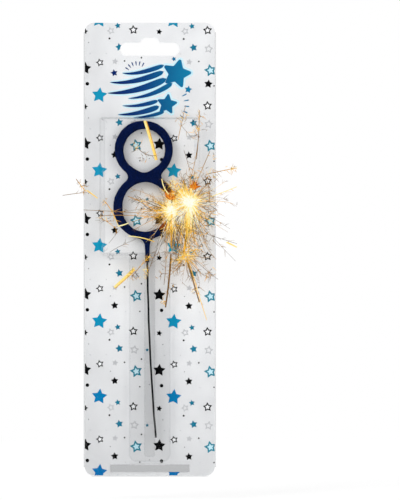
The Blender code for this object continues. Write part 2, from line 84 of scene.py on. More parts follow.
# Digit, with its centre at the waist, and the lean and place of its own plane
DIGIT_SHIFT = -2.9 * MM
DIGIT_Z = -71.1 * MM
DIGIT_Y = -2.5 * MM
DIGIT_LEAN = math.radians(1.2)
UPPER_CENTRE = (0.0, 15.1 * MM)
LOWER_CENTRE = (0.0, -16.7 * MM)
UPPER_CORE_RADIUS = 13.9 * MM
LOWER_CORE_RADIUS = 15.45 * MM
STICK_TOP = -34.5 * MM
STICK_LENGTH = 110.5 * MM
STICK_SHIFT = 0.8 * MM
STICK_TOP_SLANT = math.radians(-1.1)
STICK_TIP_SLANT = math.radians(3.7)
WIRE_RADIUS = 0.55 * MM
WIRE_CROSSING_DEPTH = 1.0 * MM
WIRE_CROSSING_REACH = 13.0 * MM

# Shared mesh work


def unit(ways):
    """Directions, each made one long."""
    return ways / np.maximum(np.linalg.norm(ways, axis=-1, keepdims=True), 1e-12)


def plane_ways(turn):
    """Directions in the pack's plane, at angles counted from X towards Z."""
    return np.stack((np.cos(turn), np.sin(turn)), axis=-1)


def along_curve(share, start, bend, end):
    """Places at shares of the curve from a start to an end that is pulled towards a bend."""
    return (1 - share) ** 2 * start + 2 * share * (1 - share) * bend + share**2 * end


def face_mesh(name, points, *groups):
    """A mesh from whole arrays of points and of faces, each face a row of corner numbers.

    A group's faces all have the same number of corners. Points that no face uses are left out.
    """
    used, corners = np.unique(
        np.concatenate([faces.ravel() for faces in groups]), return_inverse=True
    )
    sizes = np.concatenate([np.full(faces[..., 0].size, faces.shape[-1]) for faces in groups])
    starts = np.cumsum(sizes) - sizes
    mesh = bpy.data.meshes.new(name)
    mesh.vertices.add(len(used))
    mesh.vertices.foreach_set("co", points[used].astype(np.float32).ravel())
    mesh.loops.add(len(corners))
    mesh.loops.foreach_set("vertex_index", corners.astype(np.int32))
    mesh.polygons.add(len(starts))
    mesh.polygons.foreach_set("loop_start", starts.astype(np.int32))
    mesh.update(calc_edges=True)
    mesh.validate()
    return mesh


def set_values(mesh, name, values):
    """Keeps one number for each of a mesh's points, for its material to read."""
    kept = mesh.attributes.new(name, "FLOAT", "POINT")
    kept.data.foreach_set("value", np.asarray(values, np.float32).ravel())


def grid_quads(rows, columns, wrap=False):
    """Corner numbers of a grid's faces, row by row; wrap joins the last column to the first."""
    numbers = np.arange(rows * columns).reshape(rows, columns)
    right = np.roll(numbers, -1, axis=1)
    quads = np.stack((numbers[:-1], right[:-1], right[1:], numbers[1:]), axis=-1)
    if not wrap:
        quads = quads[:, :-1]
    return quads


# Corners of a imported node's triangles that lie nearer than this are one point
WELD_DISTANCE = 0.001 * MM


def merged_copy(node):
    """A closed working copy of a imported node, whose triangles are loose."""
    shell = bmesh.new()
    shell.from_mesh(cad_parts[node].data)
    bmesh.ops.remove_doubles(shell, verts=shell.verts, dist=WELD_DISTANCE)
    return shell


def closed_mesh(shell, mesh):
    """Puts a working copy into a mesh, with its holes closed and its faces outwards."""
    bmesh.ops.holes_fill(shell, edges=shell.edges, sides=0)
    bmesh.ops.recalc_face_normals(shell, faces=shell.faces)
    shell.to_mesh(mesh)
    shell.free()
    return mesh


def new_object(name, data):
    """An object of the scene for a mesh, a lamp or a camera."""
    made = bpy.data.objects.new(name, data)
    bpy.context.scene.collection.objects.link(made)
    return made


def place_piece(name, mesh, material, body, smooth_angle=None):
    """An object for a finished mesh, riding on a body, with the slot that it takes."""
    piece = new_object(name, mesh)
    mesh.materials.clear()
    mesh.materials.append(material)
    if smooth_angle is not None:
        mesh.shade_smooth()
        mesh.set_sharp_from_angle(angle=math.radians(smooth_angle))
    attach(piece, body)
    return piece


def settle(piece):
    """Makes a piece's modifiers part of its mesh."""
    graph = bpy.context.evaluated_depsgraph_get()
    mesh = bpy.data.meshes.new_from_object(piece.evaluated_get(graph))
    piece.modifiers.clear()
    piece.data = mesh
    return piece


# How many waves make a ripple, and how much shorter and longer they are than its wavelength
RIPPLE_WAVES = 28
RIPPLE_SPREAD = (0.65, 1.6)


def ripples(points, wavelength, seed):
    """Soft random relief, about 1 high: a sum of sine waves that run in random directions."""
    draw = np.random.default_rng(seed)
    ways = unit(draw.normal(size=(RIPPLE_WAVES, points.shape[-1])))
    ways *= (2 * np.pi / (wavelength * draw.uniform(*RIPPLE_SPREAD, RIPPLE_WAVES)))[:, None]
    phases = draw.uniform(0, 2 * np.pi, RIPPLE_WAVES)
    return np.sin(points @ ways.T + phases).sum(axis=-1) * math.sqrt(2 / RIPPLE_WAVES)


def rounded(corners, radii, steps):
    """A polygon's outline with each corner replaced by the arc that touches both its sides."""
    corners = np.asarray(corners, float)
    radii = np.broadcast_to(radii, len(corners))[:, None]
    before = unit(np.roll(corners, 1, axis=0) - corners)
    after = unit(np.roll(corners, -1, axis=0) - corners)
    half = np.arccos(np.sum(before * after, axis=1, keepdims=True)) / 2
    centre = unit(before + after) * radii / np.sin(half)
    first = (before * radii / np.tan(half) - centre)[:, None]
    last = (after * radii / np.tan(half) - centre)[:, None]
    sweep = (np.pi - 2 * half)[:, None]
    share = np.linspace(0, 1, steps)[None, :, None]
    arcs = (np.sin((1 - share) * sweep) * first + np.sin(share * sweep) * last) / np.sin(sweep)
    return (corners[:, None] + centre[:, None] + arcs).reshape(-1, 2)


def slab(outer, front, back, inner=None):
    """Points and faces of a closed flat slab between two depths, with an optional hole.

    Outlines run anticlockwise seen from the front, and a hole has as many points as the edge.
    """
    count = len(outer)
    ring = np.arange(count)
    after = np.roll(ring, -1)
    loops = [outer] if inner is None else [outer, inner]
    points = [np.insert(loop, 1, depth, axis=1) for loop in loops for depth in (front, back)]
    walls = np.stack((ring, ring + count, after + count, after), axis=1)
    if inner is None:
        caps = [ring.tolist(), (ring[::-1] + count).tolist()]
        return np.concatenate(points), walls.tolist() + caps
    hole = np.stack((ring, after, after + count, ring + count), axis=1) + 2 * count
    face = np.stack((ring, after, after + 2 * count, ring + 2 * count), axis=1)
    rear = face[:, ::-1] + count
    return np.concatenate(points), np.concatenate((walls, hole, face, rear)).tolist()


def joined_slabs(name, slabs):
    """One mesh of many slabs."""
    points = []
    faces = []
    first = 0
    for slab_points, slab_faces in slabs:
        faces += [[first + corner for corner in face] for face in slab_faces]
        points.append(slab_points)
        first += len(slab_points)
    mesh = bpy.data.meshes.new(name)
    mesh.from_pydata(np.concatenate(points).tolist(), [], faces)
    mesh.update()
    return mesh


# Shared shader effects


def effect_group(name, inputs, outputs):
    """An empty shader node group with named sockets, each given as name and kind."""
    group = bpy.data.node_groups.new(name, "ShaderNodeTree")
    for in_out, sockets in (("INPUT", inputs), ("OUTPUT", outputs)):
        for socket, kind in sockets:
            group.interface.new_socket(socket, in_out=in_out, socket_type=f"NodeSocket{kind}")
    entry = group.nodes.new("NodeGroupInput")
    leave = group.nodes.new("NodeGroupOutput")
    return group, entry.outputs, leave.inputs


def fill_inputs(tree, item, values):
    """Gives a node's inputs their values or links, by name or number."""
    for key, value in dict(values).items():
        socket = item.inputs[key]
        if isinstance(value, bpy.types.NodeSocket):
            tree.links.new(value, socket)
        else:
            socket.default_value = value


def add_node(tree, kind, values=(), **settings):
    """A shader node with its settings, and values or links for its inputs."""
    item = tree.nodes.new(f"ShaderNode{kind}")
    for key, value in settings.items():
        setattr(item, key, value)
    fill_inputs(tree, item, values)
    return item


def rescale(tree, value, source=(0, 1), target=(0, 1)):
    """A value with one range stretched over another, and kept inside it."""
    names = ("Value", "From Min", "From Max", "To Min", "To Max")
    values = dict(zip(names, (value, *source, *target)))
    return add_node(tree, "MapRange", values).outputs["Result"]


def calculate(tree, operation, first, second):
    """One value worked out from two."""
    return add_node(tree, "Math", {0: first, 1: second}, operation=operation).outputs["Value"]


def along_axis(tree, place, axis):
    """A place's X, Y or Z."""
    return add_node(tree, "SeparateXYZ", {"Vector": place}).outputs[axis]


def kept_value(tree, name):
    """The number that set_values kept under a name."""
    return add_node(tree, "Attribute", attribute_name=name).outputs["Fac"]


def ramp(tree, value, stops):
    """Colours along a value, from stops of place and colour."""
    item = add_node(tree, "ValToRGB", {"Fac": value})
    marks = item.color_ramp.elements
    while len(marks) < len(stops):
        marks.new(1.0)
    for mark, (place, color) in zip(marks, stops):
        mark.position = place
        mark.color = (*color, 1.0)
    return item.outputs["Color"]


def blend_colors(tree, share, first, second):
    """One colour turning into another by a share."""
    first, second = (
        color if isinstance(color, bpy.types.NodeSocket) else (*color, 1.0)
        for color in (first, second)
    )
    return add_node(tree, "Mix", {0: share, 6: first, 7: second}, data_type="RGBA").outputs[2]


def mix_surface(tree, share, first, second):
    """Makes a material's surface one shader turning into another by a share."""
    both = add_node(tree, "MixShader", {0: share, 1: first.outputs[0], 2: second.outputs[0]})
    tree.links.new(both.outputs[0], tree.nodes["Material Output"].inputs["Surface"])


def noise_in(group, given, detail, roughness):
    """Noise inside an effect, at the place and scale that the effect is given."""
    values = {"Vector": given["Place"], "Scale": given["Scale"]}
    values |= {"Detail": detail, "Roughness": roughness}
    return add_node(group, "TexNoise", values).outputs["Fac"]


# Detail and roughness of each effect's noise, and the stretch that clouds are steepened over
MOTTLE_NOISE = (4, 0.55)
MOTTLE_STRETCH = (0.32, 0.68)
GRAIN_NOISE = (6, 0.7)


def make_mottle():
    """Cloudy value from 0 to 1 over the surface: broad noise, steepened about its middle."""
    group, given, result = effect_group(
        "cloudy_mottle", (("Place", "Vector"), ("Scale", "Float")), (("Value", "Float"),)
    )
    steepened = rescale(group, noise_in(group, given, *MOTTLE_NOISE), MOTTLE_STRETCH)
    group.links.new(steepened, result["Value"])
    return group


def make_grain():
    """Fine relief of a rough surface, as a normal and as its own height."""
    group, given, result = effect_group(
        "fine_grain",
        (("Place", "Vector"), ("Scale", "Float"), ("Depth", "Float")),
        (("Normal", "Vector"), ("Height", "Float")),
    )
    height = noise_in(group, given, *GRAIN_NOISE)
    values = {"Height": height, "Distance": given["Depth"], "Strength": 1.0}
    bump = add_node(group, "Bump", values)
    group.links.new(bump.outputs["Normal"], result["Normal"])
    group.links.new(height, result["Height"])
    return group


MOTTLE = make_mottle()
GRAIN = make_grain()


def use_group(tree, group, **values):
    """The outputs of a shared effect placed in a material, with this material's values."""
    return add_node(tree, "Group", values, node_tree=group).outputs


def cloudy(tree, place, scale):
    """A cloudy value from 0 to 1 over a material's surface."""
    return use_group(tree, MOTTLE, Place=place, Scale=scale)["Value"]


def start_material(name):
    """A node material, with its tree, its Principled shader and its Object coordinates."""
    material = bpy.data.materials.new(name)
    material.use_nodes = True
    tree = material.node_tree
    place = tree.nodes.new("ShaderNodeTexCoord").outputs["Object"]
    return material, tree, tree.nodes["Principled BSDF"], place


def give_glow(material, tree, shader, value, stops):
    """Makes a surface glow in colours along a value, without lighting anything else."""
    color = ramp(tree, value, stops)
    fill_inputs(tree, shader, {"Emission Color": color, "Emission Strength": 1.0})
    material.cycles.emission_sampling = "NONE"


# Finishes

# Card: the scale and depth of its paper tooth, its clouds' scale, its roughness and its colours
TOOTH_SCALE = 2600.0
BOARD_TOOTH = 0.012 * MM
BOARD_CLOUD_SCALE = 55.0
BOARD_ROUGHNESS = (0.42, 0.62)
BOARD_COLORS = ((0.795, 0.795, 0.805), (0.872, 0.872, 0.878))

# Painted light and shade on the board, lightest a little below the middle and darker towards the
# foot and the left edge: its tone up the pack, from the foot to the head, and across it
PAINTED_LIGHT_UP = (
    (0.0, 0.83), (0.05, 0.855), (0.13, 0.885), (0.21, 0.91), (0.26, 0.925), (0.316, 0.967),
    (0.37, 1.0), (0.43, 0.985), (0.50, 0.94), (0.63, 0.925), (0.79, 0.925), (0.90, 0.945),
    (1.0, 0.945),
)
PAINTED_LIGHT_ACROSS = ((0.0, 0.93), (0.08, 0.93), (0.17, 0.97), (0.29, 1.0), (0.90, 1.0), (1.0, 0.98))


def card_finish():
    """Coated white board, very slightly cloudy, with the fine tooth of paper, and painted light
    and shade: lightest a little below the middle, darker towards the foot and the left edge."""
    material, tree, shader, place = start_material("coated_board")
    tooth = use_group(tree, GRAIN, Place=place, Scale=TOOTH_SCALE, Depth=BOARD_TOOTH)
    color = blend_colors(tree, cloudy(tree, place, BOARD_CLOUD_SCALE), *BOARD_COLORS)
    # Painted light and shade: the board's colour is multiplied by a tone up and across the card
    for axis, low, high, tones in (
        ("Z", PACK_BOTTOM, PACK_TOP, PAINTED_LIGHT_UP),
        ("X", -PACK_HALF, PACK_HALF, PAINTED_LIGHT_ACROSS),
    ):
        share = rescale(tree, along_axis(tree, place, axis), (low, high))
        painted_light = ramp(tree, share, [(at, (tone, tone, tone)) for at, tone in tones])
        lit_and_shaded = add_node(tree, "VectorMath", {0: color, 1: painted_light}, operation="MULTIPLY")
        color = lit_and_shaded.outputs["Vector"]
    rough = rescale(tree, tooth["Height"], target=BOARD_ROUGHNESS)
    fill_inputs(
        tree, shader, {"Base Color": color, "Roughness": rough, "Normal": tooth["Normal"]}
    )
    return material


# Inks: the depth of the board's tooth under them, their clouds' scale, roughness and gloss
INK_TOOTH = 0.006 * MM
INK_CLOUD_SCALE = 260.0
INK_ROUGHNESS = (0.28, 0.5)
INK_GLOSS = 0.05

# How unevenly a graded ink's colours lie, and over what scale
GRADING_SHIFT = (-0.4 * MM, 0.4 * MM)
GRADING_SCALE = 240.0


def give_ink(tree, shader, place, color):
    """Gives a shader an ink's colour and gloss, and hands back the board's tooth under it."""
    tooth = use_group(tree, GRAIN, Place=place, Scale=TOOTH_SCALE, Depth=INK_TOOTH)
    rough = rescale(tree, tooth["Height"], target=INK_ROUGHNESS)
    fill_inputs(
        tree, shader, {"Base Color": color, "Roughness": rough, "Specular IOR Level": INK_GLOSS}
    )
    return tooth


def ink_finish(name, light, dark):
    """Printing ink: a colour with a faint unevenness, glossier than the board."""
    material, tree, shader, place = start_material(name)
    color = blend_colors(tree, cloudy(tree, place, INK_CLOUD_SCALE), dark, light)
    tooth = give_ink(tree, shader, place, color)
    tree.links.new(tooth["Normal"], shader.inputs["Normal"])
    return material


def graded_ink_finish(name, stops, low, high, axis="X"):
    """Printing ink whose colour changes over the pack, from X or Z = low to X or Z = high."""
    material, tree, shader, place = start_material(name)
    shift = rescale(tree, cloudy(tree, place, GRADING_SCALE), target=GRADING_SHIFT)
    moved = calculate(tree, "ADD", along_axis(tree, place, axis), shift)
    give_ink(tree, shader, place, ramp(tree, rescale(tree, moved, (low, high)), stops))
    return material


# Clear sheet: what it lets through where it lies flat, where shade is painted into it and where
# it is seen edge-on, how fast it turns to that, its share of mirror light, and the mirror's
# roughness with the scale over which that changes
FLAT_TINT = (0.985, 0.988, 0.990)
PAINTED_SHADE_TINT = (0.69, 0.695, 0.70)
EDGE_TINT = (0.82, 0.83, 0.85)
EDGE_POWER = 5.0
MIRROR_SHARES = (0.004, 0.85)
MIRROR_ROUGHNESS = (0.04, 0.10)
HAZE_SCALE = 70.0


def clear_finish():
    """Thin clear plastic: light passes straight through, greyer where it crosses a wall
    edge-on and where shade is painted into it, and a mirror gloss grows with the slant."""
    material, tree, shader, place = start_material("clear_sheet")
    tree.nodes.remove(shader)
    facing = add_node(tree, "LayerWeight", {"Blend": 0.5}).outputs["Facing"]
    steep = calculate(tree, "POWER", facing, EDGE_POWER)
    # Painted shade: the sheet's tint turns grey where the kept share of painted shade is high
    flat = blend_colors(tree, kept_value(tree, "drawn_lines_or_painted_shade"), FLAT_TINT, PAINTED_SHADE_TINT)
    tint = blend_colors(tree, steep, flat, EDGE_TINT)
    through = add_node(tree, "BsdfTransparent", {"Color": tint})
    rough = rescale(tree, cloudy(tree, place, HAZE_SCALE), target=MIRROR_ROUGHNESS)
    mirror = add_node(tree, "BsdfGlossy", {"Roughness": rough})
    mix_surface(tree, rescale(tree, steep, target=MIRROR_SHARES), through, mirror)
    return material


# Coating: its colours, its painted highlight on high grains, its colour at the neck's foot, and
# its grain's scale and depth
NAVY_COLORS = ((0.0002, 0.0030, 0.022), (0.0004, 0.0044, 0.034))
NAVY_PAINTED_HIGHLIGHT = (0.0008, 0.0070, 0.053)
NAVY_NECK_FOOT = (0.003, 0.022, 0.045)
NAVY_CLOUD_SCALE = 160.0
NAVY_GRAIN_SCALE = 1500.0
NAVY_GRAIN = 0.05 * MM
NAVY_GLOSS = 0.03

# Its metal flecks: their colour and scale, how far from a cell's middle one ends and is full, the
# share of cells without one, and roughness and metal off and on a fleck
FLECK_COLOR = (0.05, 0.08, 0.19)
FLECK_SCALE = 1900.0
FLECK_EDGE = (0.16, 0.08)
FLECK_RARITY = 0.88
FLECK_ROUGHNESS = (0.74, 0.3)
FLECK_METAL = (0.0, 0.8)

# Its burn: the colour of char, how far it has burnt where it starts to char and is black, and
# its glow
CHAR_COLOR = (0.010, 0.006, 0.005)
CHAR_BURN = (0.04, 0.2)
COATING_GLOW = (
    (0.0, (0, 0, 0)),
    (0.24, (0, 0, 0)),
    (0.38, (0.20, 0.022, 0.002)),
    (0.55, (0.80, 0.24, 0.02)),
    (0.75, (0.98, 0.58, 0.10)),
    (1.0, (1.0, 0.92, 0.62)),
)


def coating_finish():
    """Dark blue pressed coating: matte, grainy, with small metal flecks, with painted light on
    its highest grains and painted shade in its pits, greenish at the neck's foot. Where it burns
    it chars, and then glows from red to pale yellow towards the middle of the fire."""
    material, tree, shader, place = start_material("pressed_coating")
    burn = kept_value(tree, "burn")
    grain = use_group(tree, GRAIN, Place=place, Scale=NAVY_GRAIN_SCALE, Depth=NAVY_GRAIN)
    color = blend_colors(tree, cloudy(tree, place, NAVY_CLOUD_SCALE), *NAVY_COLORS)
    cells = add_node(tree, "TexVoronoi", {"Vector": place, "Scale": FLECK_SCALE}).outputs
    any_cell = add_node(tree, "SeparateColor", {"Color": cells["Color"]}).outputs["Red"]
    few = calculate(tree, "GREATER_THAN", any_cell, FLECK_RARITY)
    fleck = calculate(tree, "MULTIPLY", rescale(tree, cells["Distance"], FLECK_EDGE), few)
    for share, tint in (
        # Painted highlight on high grains and painted shade in the pits, by the kept relief
        (kept_value(tree, "relief"), NAVY_PAINTED_HIGHLIGHT),
        (kept_value(tree, "foot"), NAVY_NECK_FOOT),
        (fleck, FLECK_COLOR),
        (rescale(tree, burn, CHAR_BURN), CHAR_COLOR),
    ):
        color = blend_colors(tree, share, color, tint)
    values = {
        "Base Color": color,
        "Roughness": rescale(tree, fleck, target=FLECK_ROUGHNESS),
        "Metallic": rescale(tree, fleck, target=FLECK_METAL),
        "Normal": grain["Normal"],
        "Specular IOR Level": NAVY_GLOSS,
    }
    fill_inputs(tree, shader, values)
    give_glow(material, tree, shader, burn, COATING_GLOW)
    return material


# Colours of sparks and of embers, from their coldest to their hottest
SPARK_COLORS = (
    (0.0, (0.050, 0.032, 0.014)),
    (0.14, (0.145, 0.080, 0.030)),
    (0.30, (0.43, 0.225, 0.052)),
    (0.47, (0.92, 0.46, 0.035)),
    (0.62, (1.0, 0.67, 0.12)),
    (0.80, (1.0, 0.88, 0.38)),
    (1.0, (1.0, 0.99, 0.86)),
)
EMBER_COLORS = (
    (0.0, (0.06, 0.012, 0.003)),
    (0.22, (0.34, 0.060, 0.006)),
    (0.42, (0.80, 0.205, 0.010)),
    (0.62, (1.0, 0.46, 0.035)),
    (1.0, (1.0, 0.86, 0.40)),
)

# A spark's own colour under its glow, how far its heat flickers, and over what scale
SOOT_COLOR = (0.02, 0.015, 0.01, 1)
FLICKER = (-0.07, 0.07)
FLICKER_SCALE = 900.0


def spark_finish(name, colors):
    """Something that glows in the colours given for its heat, flickering a little."""
    material, tree, shader, place = start_material(name)
    flicker = rescale(tree, cloudy(tree, place, FLICKER_SCALE), target=FLICKER)
    heat = calculate(tree, "ADD", kept_value(tree, "burn"), flicker)
    values = {"Base Color": SOOT_COLOR, "Roughness": 1.0, "Specular IOR Level": 0.0}
    fill_inputs(tree, shader, values)
    give_glow(material, tree, shader, heat, colors)
    return material


# Wire: its colours, also near the coating and how far down from it, its roughness, metal and
# gloss, the scale of its clouds, and its drawn lines' scale, their squeeze along it and depth
STEEL_COLORS = ((0.004, 0.004, 0.005), (0.012, 0.012, 0.013))
STEEL_NEAR_COATING = (0.012, 0.020, 0.036)
HEATED_LENGTH = 14 * MM
STEEL_ROUGHNESS = (0.5, 0.34)
STEEL_METAL = 0.2
STEEL_GLOSS = 0.2
STEEL_CLOUD_SCALE = 210.0
DRAWN_LINE_SCALE = 5200.0
DRAWN_LINE_SQUEEZE = (1.0, 1.0, 0.03)
DRAWN_LINE_DEPTH = 0.01 * MM


def wire_finish():
    """Drawn steel wire, dark with oxide, brushed along its length and tinted by heat at the
    end that comes out of the coating."""
    material, tree, shader, place = start_material("drawn_wire")
    drawn_lines_or_painted_shade = add_node(tree, "Mapping", {"Vector": place, "Scale": DRAWN_LINE_SQUEEZE}).outputs[0]
    lines = use_group(tree, GRAIN, Place=drawn_lines_or_painted_shade, Scale=DRAWN_LINE_SCALE, Depth=DRAWN_LINE_DEPTH)
    cloud = cloudy(tree, place, STEEL_CLOUD_SCALE)
    heated = (COATING_FOOT - HEATED_LENGTH, COATING_FOOT)
    near = rescale(tree, along_axis(tree, place, "Z"), heated)
    steel = blend_colors(tree, cloud, *STEEL_COLORS)
    values = {
        "Base Color": blend_colors(tree, near, steel, STEEL_NEAR_COATING),
        "Roughness": rescale(tree, cloud, target=STEEL_ROUGHNESS),
        "Normal": lines["Normal"],
        "Metallic": STEEL_METAL,
        "Specular IOR Level": STEEL_GLOSS,
    }
    fill_inputs(tree, shader, values)
    return material


# Formed cover

# Raised forms of the sheet, in mm: half width, low and high end, corner radius at the low and
# at the high end, rise, how far the wall leans in at the sides, at the low and at the high end,
# foot fillet, rim fillet, and how far from its outline the wall's profile reaches. The rib's
# ends are counted from its middle.
FORM_SIZES = (
    "half", "low", "high", "low_radius", "high_radius", "rise",
    "side_run", "low_run", "high_run", "foot", "rim", "reach",
)
BUBBLE, STEP, GROOVE, RIB = (
    dict(zip(FORM_SIZES, np.array(sizes) * MM))
    for sizes in (
        (27.8, -115.14, -38.0, 3.2, 1.6, 7.9, 2.8, 1.6, 0.8, 0.7, 1.3, 5.5),
        (11.7, -229.6, -60.0, 4.5, 1.0, 3.1, 0.6, 0.6, 0.6, 0.5, 0.7, 2.6),
        (3.07, -226.6, -60.0, 1.6, 1.0, 2.4, 0.17, 0.17, 0.17, 0.35, 0.6, 1.4),
        (2.1, -0.8, 0.8, 0.5, 0.5, 0.6, 0.05, 0.05, 0.05, 0.12, 0.35, 0.75),
    )
)
RIB_PLACES = (-174.0 * MM, -207.4 * MM)

# Shares of the reach where a wall's foot fillet starts, its leaning part starts and ends, and
# its rim ends, from the flat sheet at -1 to the flat top at 1
FOOT_START, WALL_START, WALL_END, RIM_END = -0.4, -0.12, 0.12, 0.5
FILLET_STEPS = 7

# The bubble's bow, the sheet's waves, the fillet between bubble and channel, and how far from
# its edges the sheet lies calm
BUBBLE_CROWN = 0.25 * MM
SHEET_WAVE = 0.045 * MM
SHEET_WAVELENGTH = 34 * MM
JOIN_RADIUS = 0.9 * MM
CALM_EDGE = 2 * MM

# Painted shade that greys the sheet, from 0 to 1: in the channel at its deepest, along the
# bubble's foot, at the folds, and over the card's foot slot
CHANNEL_PAINTED_SHADE = 0.34
CHANNEL_SHADE_POWER = 1.2
FOOT_PAINTED_SHADE = 0.16
FOOT_SHADE_RISE = (0.0, 0.02, 0.12, 0.2)
FOLD_PAINTED_SHADE = 0.4
FOOT_SLOT_PAINTED_SHADE = 1
FOOT_SLOT_HALF = 22.0 * MM
FOOT_SLOT_LOW = -235.2 * MM
FOOT_SLOT_HIGH = -231.2 * MM

# Grid lines of the flat sheet, closer where it bends and at the edges of the painted shade over
# the
# foot slot: where each stretch of lines starts and its widest spacing, in mm, across from the
# middle and up from the foot
LINES_ACROSS = (
    (0, 0.7), (1.4, 0.22), (4.6, 1.5), (9.0, 0.34),
    (14.4, 1.6), (21.9, 0.15), (22.2, 0.5), (33.4, 1.2),
)
LINES_UP = (
    (-235.4, 0.15), (-235.1, 0.9), (-232.5, 0.12), (-231.1, 0.34), (-224.2, 1.8),
    (-208.8, 0.2), (-206.0, 1.8), (-175.4, 0.2), (-172.6, 1.8), (-120.8, 0.5),
    (-109.6, 1.8), (-43.6, 0.5), (-32.4, 1.8),
)

# The grid's narrow band beside the folds and its spacing there, near the foot and at the upper
# corners, the steps of a fold and of a hang slot's corner, and the angle up to which the sheet
# is smooth
EDGE_BAND = 0.2 * MM
EDGE_SPACING = 0.1 * MM
LOW_SPACING = 0.9 * MM
CORNER_SPACING = 0.55 * MM
FOLD_STEPS = 6
HANG_CORNER_STEPS = 9
COVER_SMOOTH_ANGLE = 38

# How far the rails reach into the lower and the upper corners, and how far before the rail's
# back the sheet is still bent
RAIL_REACH_LOW = 0.5 * MM
RAIL_REACH_HIGH = 0.1 * MM
BENT_MARGIN = 0.01 * MM


def ruled(stretches, end):
    """Grid lines over stretches, each given by its start and its widest spacing."""
    starts, spacings = np.array(stretches).T
    spans = [
        np.linspace(a, b, math.ceil((b - a) / step - 0.01) + 1)
        for a, b, step in zip(starts, np.append(starts[1:], end), spacings)
    ]
    return np.unique(np.round(np.concatenate(spans), 8))


def inside_frame(x, z, form):
    """How far points lie inside a form's upright rounded frame, and the way straight out of it.

    Past a corner's centre on both axes the distance is measured from the corner's circle, and
    elsewhere from the nearest side.
    """
    middle = (form["low"] + form["high"]) / 2
    radius = np.where(z < middle, form["low_radius"], form["high_radius"])
    across = np.abs(x) - form["half"] + radius
    along = np.abs(z - middle) - (form["high"] - form["low"]) / 2 + radius
    corner = (across > 0) & (along > 0)
    reach = np.maximum(np.hypot(across, along), 1e-9)
    inside = radius - np.where(corner, reach, np.maximum(across, along))
    out_x = np.where(corner, across / reach, across > along) * np.sign(x)
    out_z = np.where(corner, along / reach, across <= along) * np.sign(z - middle)
    return inside, out_x, out_z


def raise_form(x, z, form):
    """Moves grid points on to the wall of a raised form, and gives its height at each.

    Across the wall a point's share of the reach is read as a place on a profile: flat sheet,
    foot fillet, leaning wall, rounded rim, flat top. The wall leans in by a run that depends
    on the side, so points keep evenly spread on a steep wall as on a gentle one.
    """
    inside, out_x, out_z = inside_frame(x, z, form)
    reach, foot, rim, rise = (form[key] for key in ("reach", "foot", "rim", "rise"))
    turn = np.linspace(0, np.pi / 2, FILLET_STEPS)
    foot_marks = np.linspace(FOOT_START, WALL_START, FILLET_STEPS)
    rim_marks = np.linspace(WALL_END, RIM_END, FILLET_STEPS)
    marks = np.concatenate(([-1], foot_marks, rim_marks, [1]))
    across = np.concatenate(
        ([-reach], foot * (np.sin(turn) - 1), rim * (1 - np.cos(turn)), [reach])
    )
    up = np.concatenate(
        ([0], foot * (1 - np.cos(turn)), rise - rim * (1 - np.sin(turn)), [rise])
    )
    share = np.clip(inside / reach, -1, 1)
    end_run = np.where(z < (form["low"] + form["high"]) / 2, form["low_run"], form["high_run"])
    run = out_x**2 * form["side_run"] + out_z**2 * end_run
    lean = np.interp(share, (WALL_START, WALL_END, RIM_END, 1), (0, 1, 1, 0))
    moved = np.interp(share, marks, across) + run * lean
    move = np.where(np.abs(inside) < reach, moved - inside, 0)
    return x - out_x * move, z - out_z * move, np.interp(share, marks, up)


def soft_max(first, second, radius):
    """The higher of two heights, with a fillet where they meet above the sheet."""
    room = np.minimum(radius, 2 * np.minimum(first, second))
    room = np.maximum(room, 1e-9)
    near = np.maximum(room - np.abs(first - second), 0) / room
    return np.maximum(first, second) + near**2 * room / 4


def cover_heights(x, z):
    """The formed sheet's grid points, how far forward of the flat sheet each one is, and how
    much shade is painted on it: along the bubble's foot, more in the channel the deeper it
    goes, and over the card's foot slot."""
    x, z, bubble = raise_form(x, z, BUBBLE)
    x, z, step = raise_form(x, z, STEP)
    x, z, groove = raise_form(x, z, GROOVE)
    channel = step + groove
    for middle in RIB_PLACES:
        rib = RIB | {key: middle + RIB[key] for key in ("low", "high")}
        x, z, height = raise_form(x, z, rib)
        channel = channel + height
    middle = (BUBBLE["low"] + BUBBLE["high"]) / 2
    bow_x = 1 - (x / BUBBLE["half"]) ** 2
    bow_z = 1 - ((z - middle) / (BUBBLE["high"] - middle)) ** 2
    bubble += BUBBLE_CROWN * np.clip(bow_x, 0, 1) * np.clip(bow_z, 0, 1)
    height = soft_max(bubble, channel, JOIN_RADIUS)
    # Painted shade: more in the channel the deeper it goes, a band along the bubble's foot, and
    # full grey over the card's foot slot
    deep = channel / (STEP["rise"] + GROOVE["rise"])
    in_channel = CHANNEL_PAINTED_SHADE * deep**CHANNEL_SHADE_POWER
    at_foot = FOOT_PAINTED_SHADE * np.interp(bubble / BUBBLE["rise"], FOOT_SHADE_RISE, (0, 1, 1, 0))
    drawn_lines_or_painted_shade = np.where(channel > bubble, in_channel, at_foot)
    over_slot = (np.abs(x) < FOOT_SLOT_HALF) & (z > FOOT_SLOT_LOW) & (z < FOOT_SLOT_HIGH)
    drawn_lines_or_painted_shade = np.where(over_slot, FOOT_SLOT_PAINTED_SHADE, drawn_lines_or_painted_shade)
    waves = SHEET_WAVE * ripples(np.stack((x, z), axis=-1), SHEET_WAVELENGTH, seed=3)
    return x, z, height + waves, drawn_lines_or_painted_shade


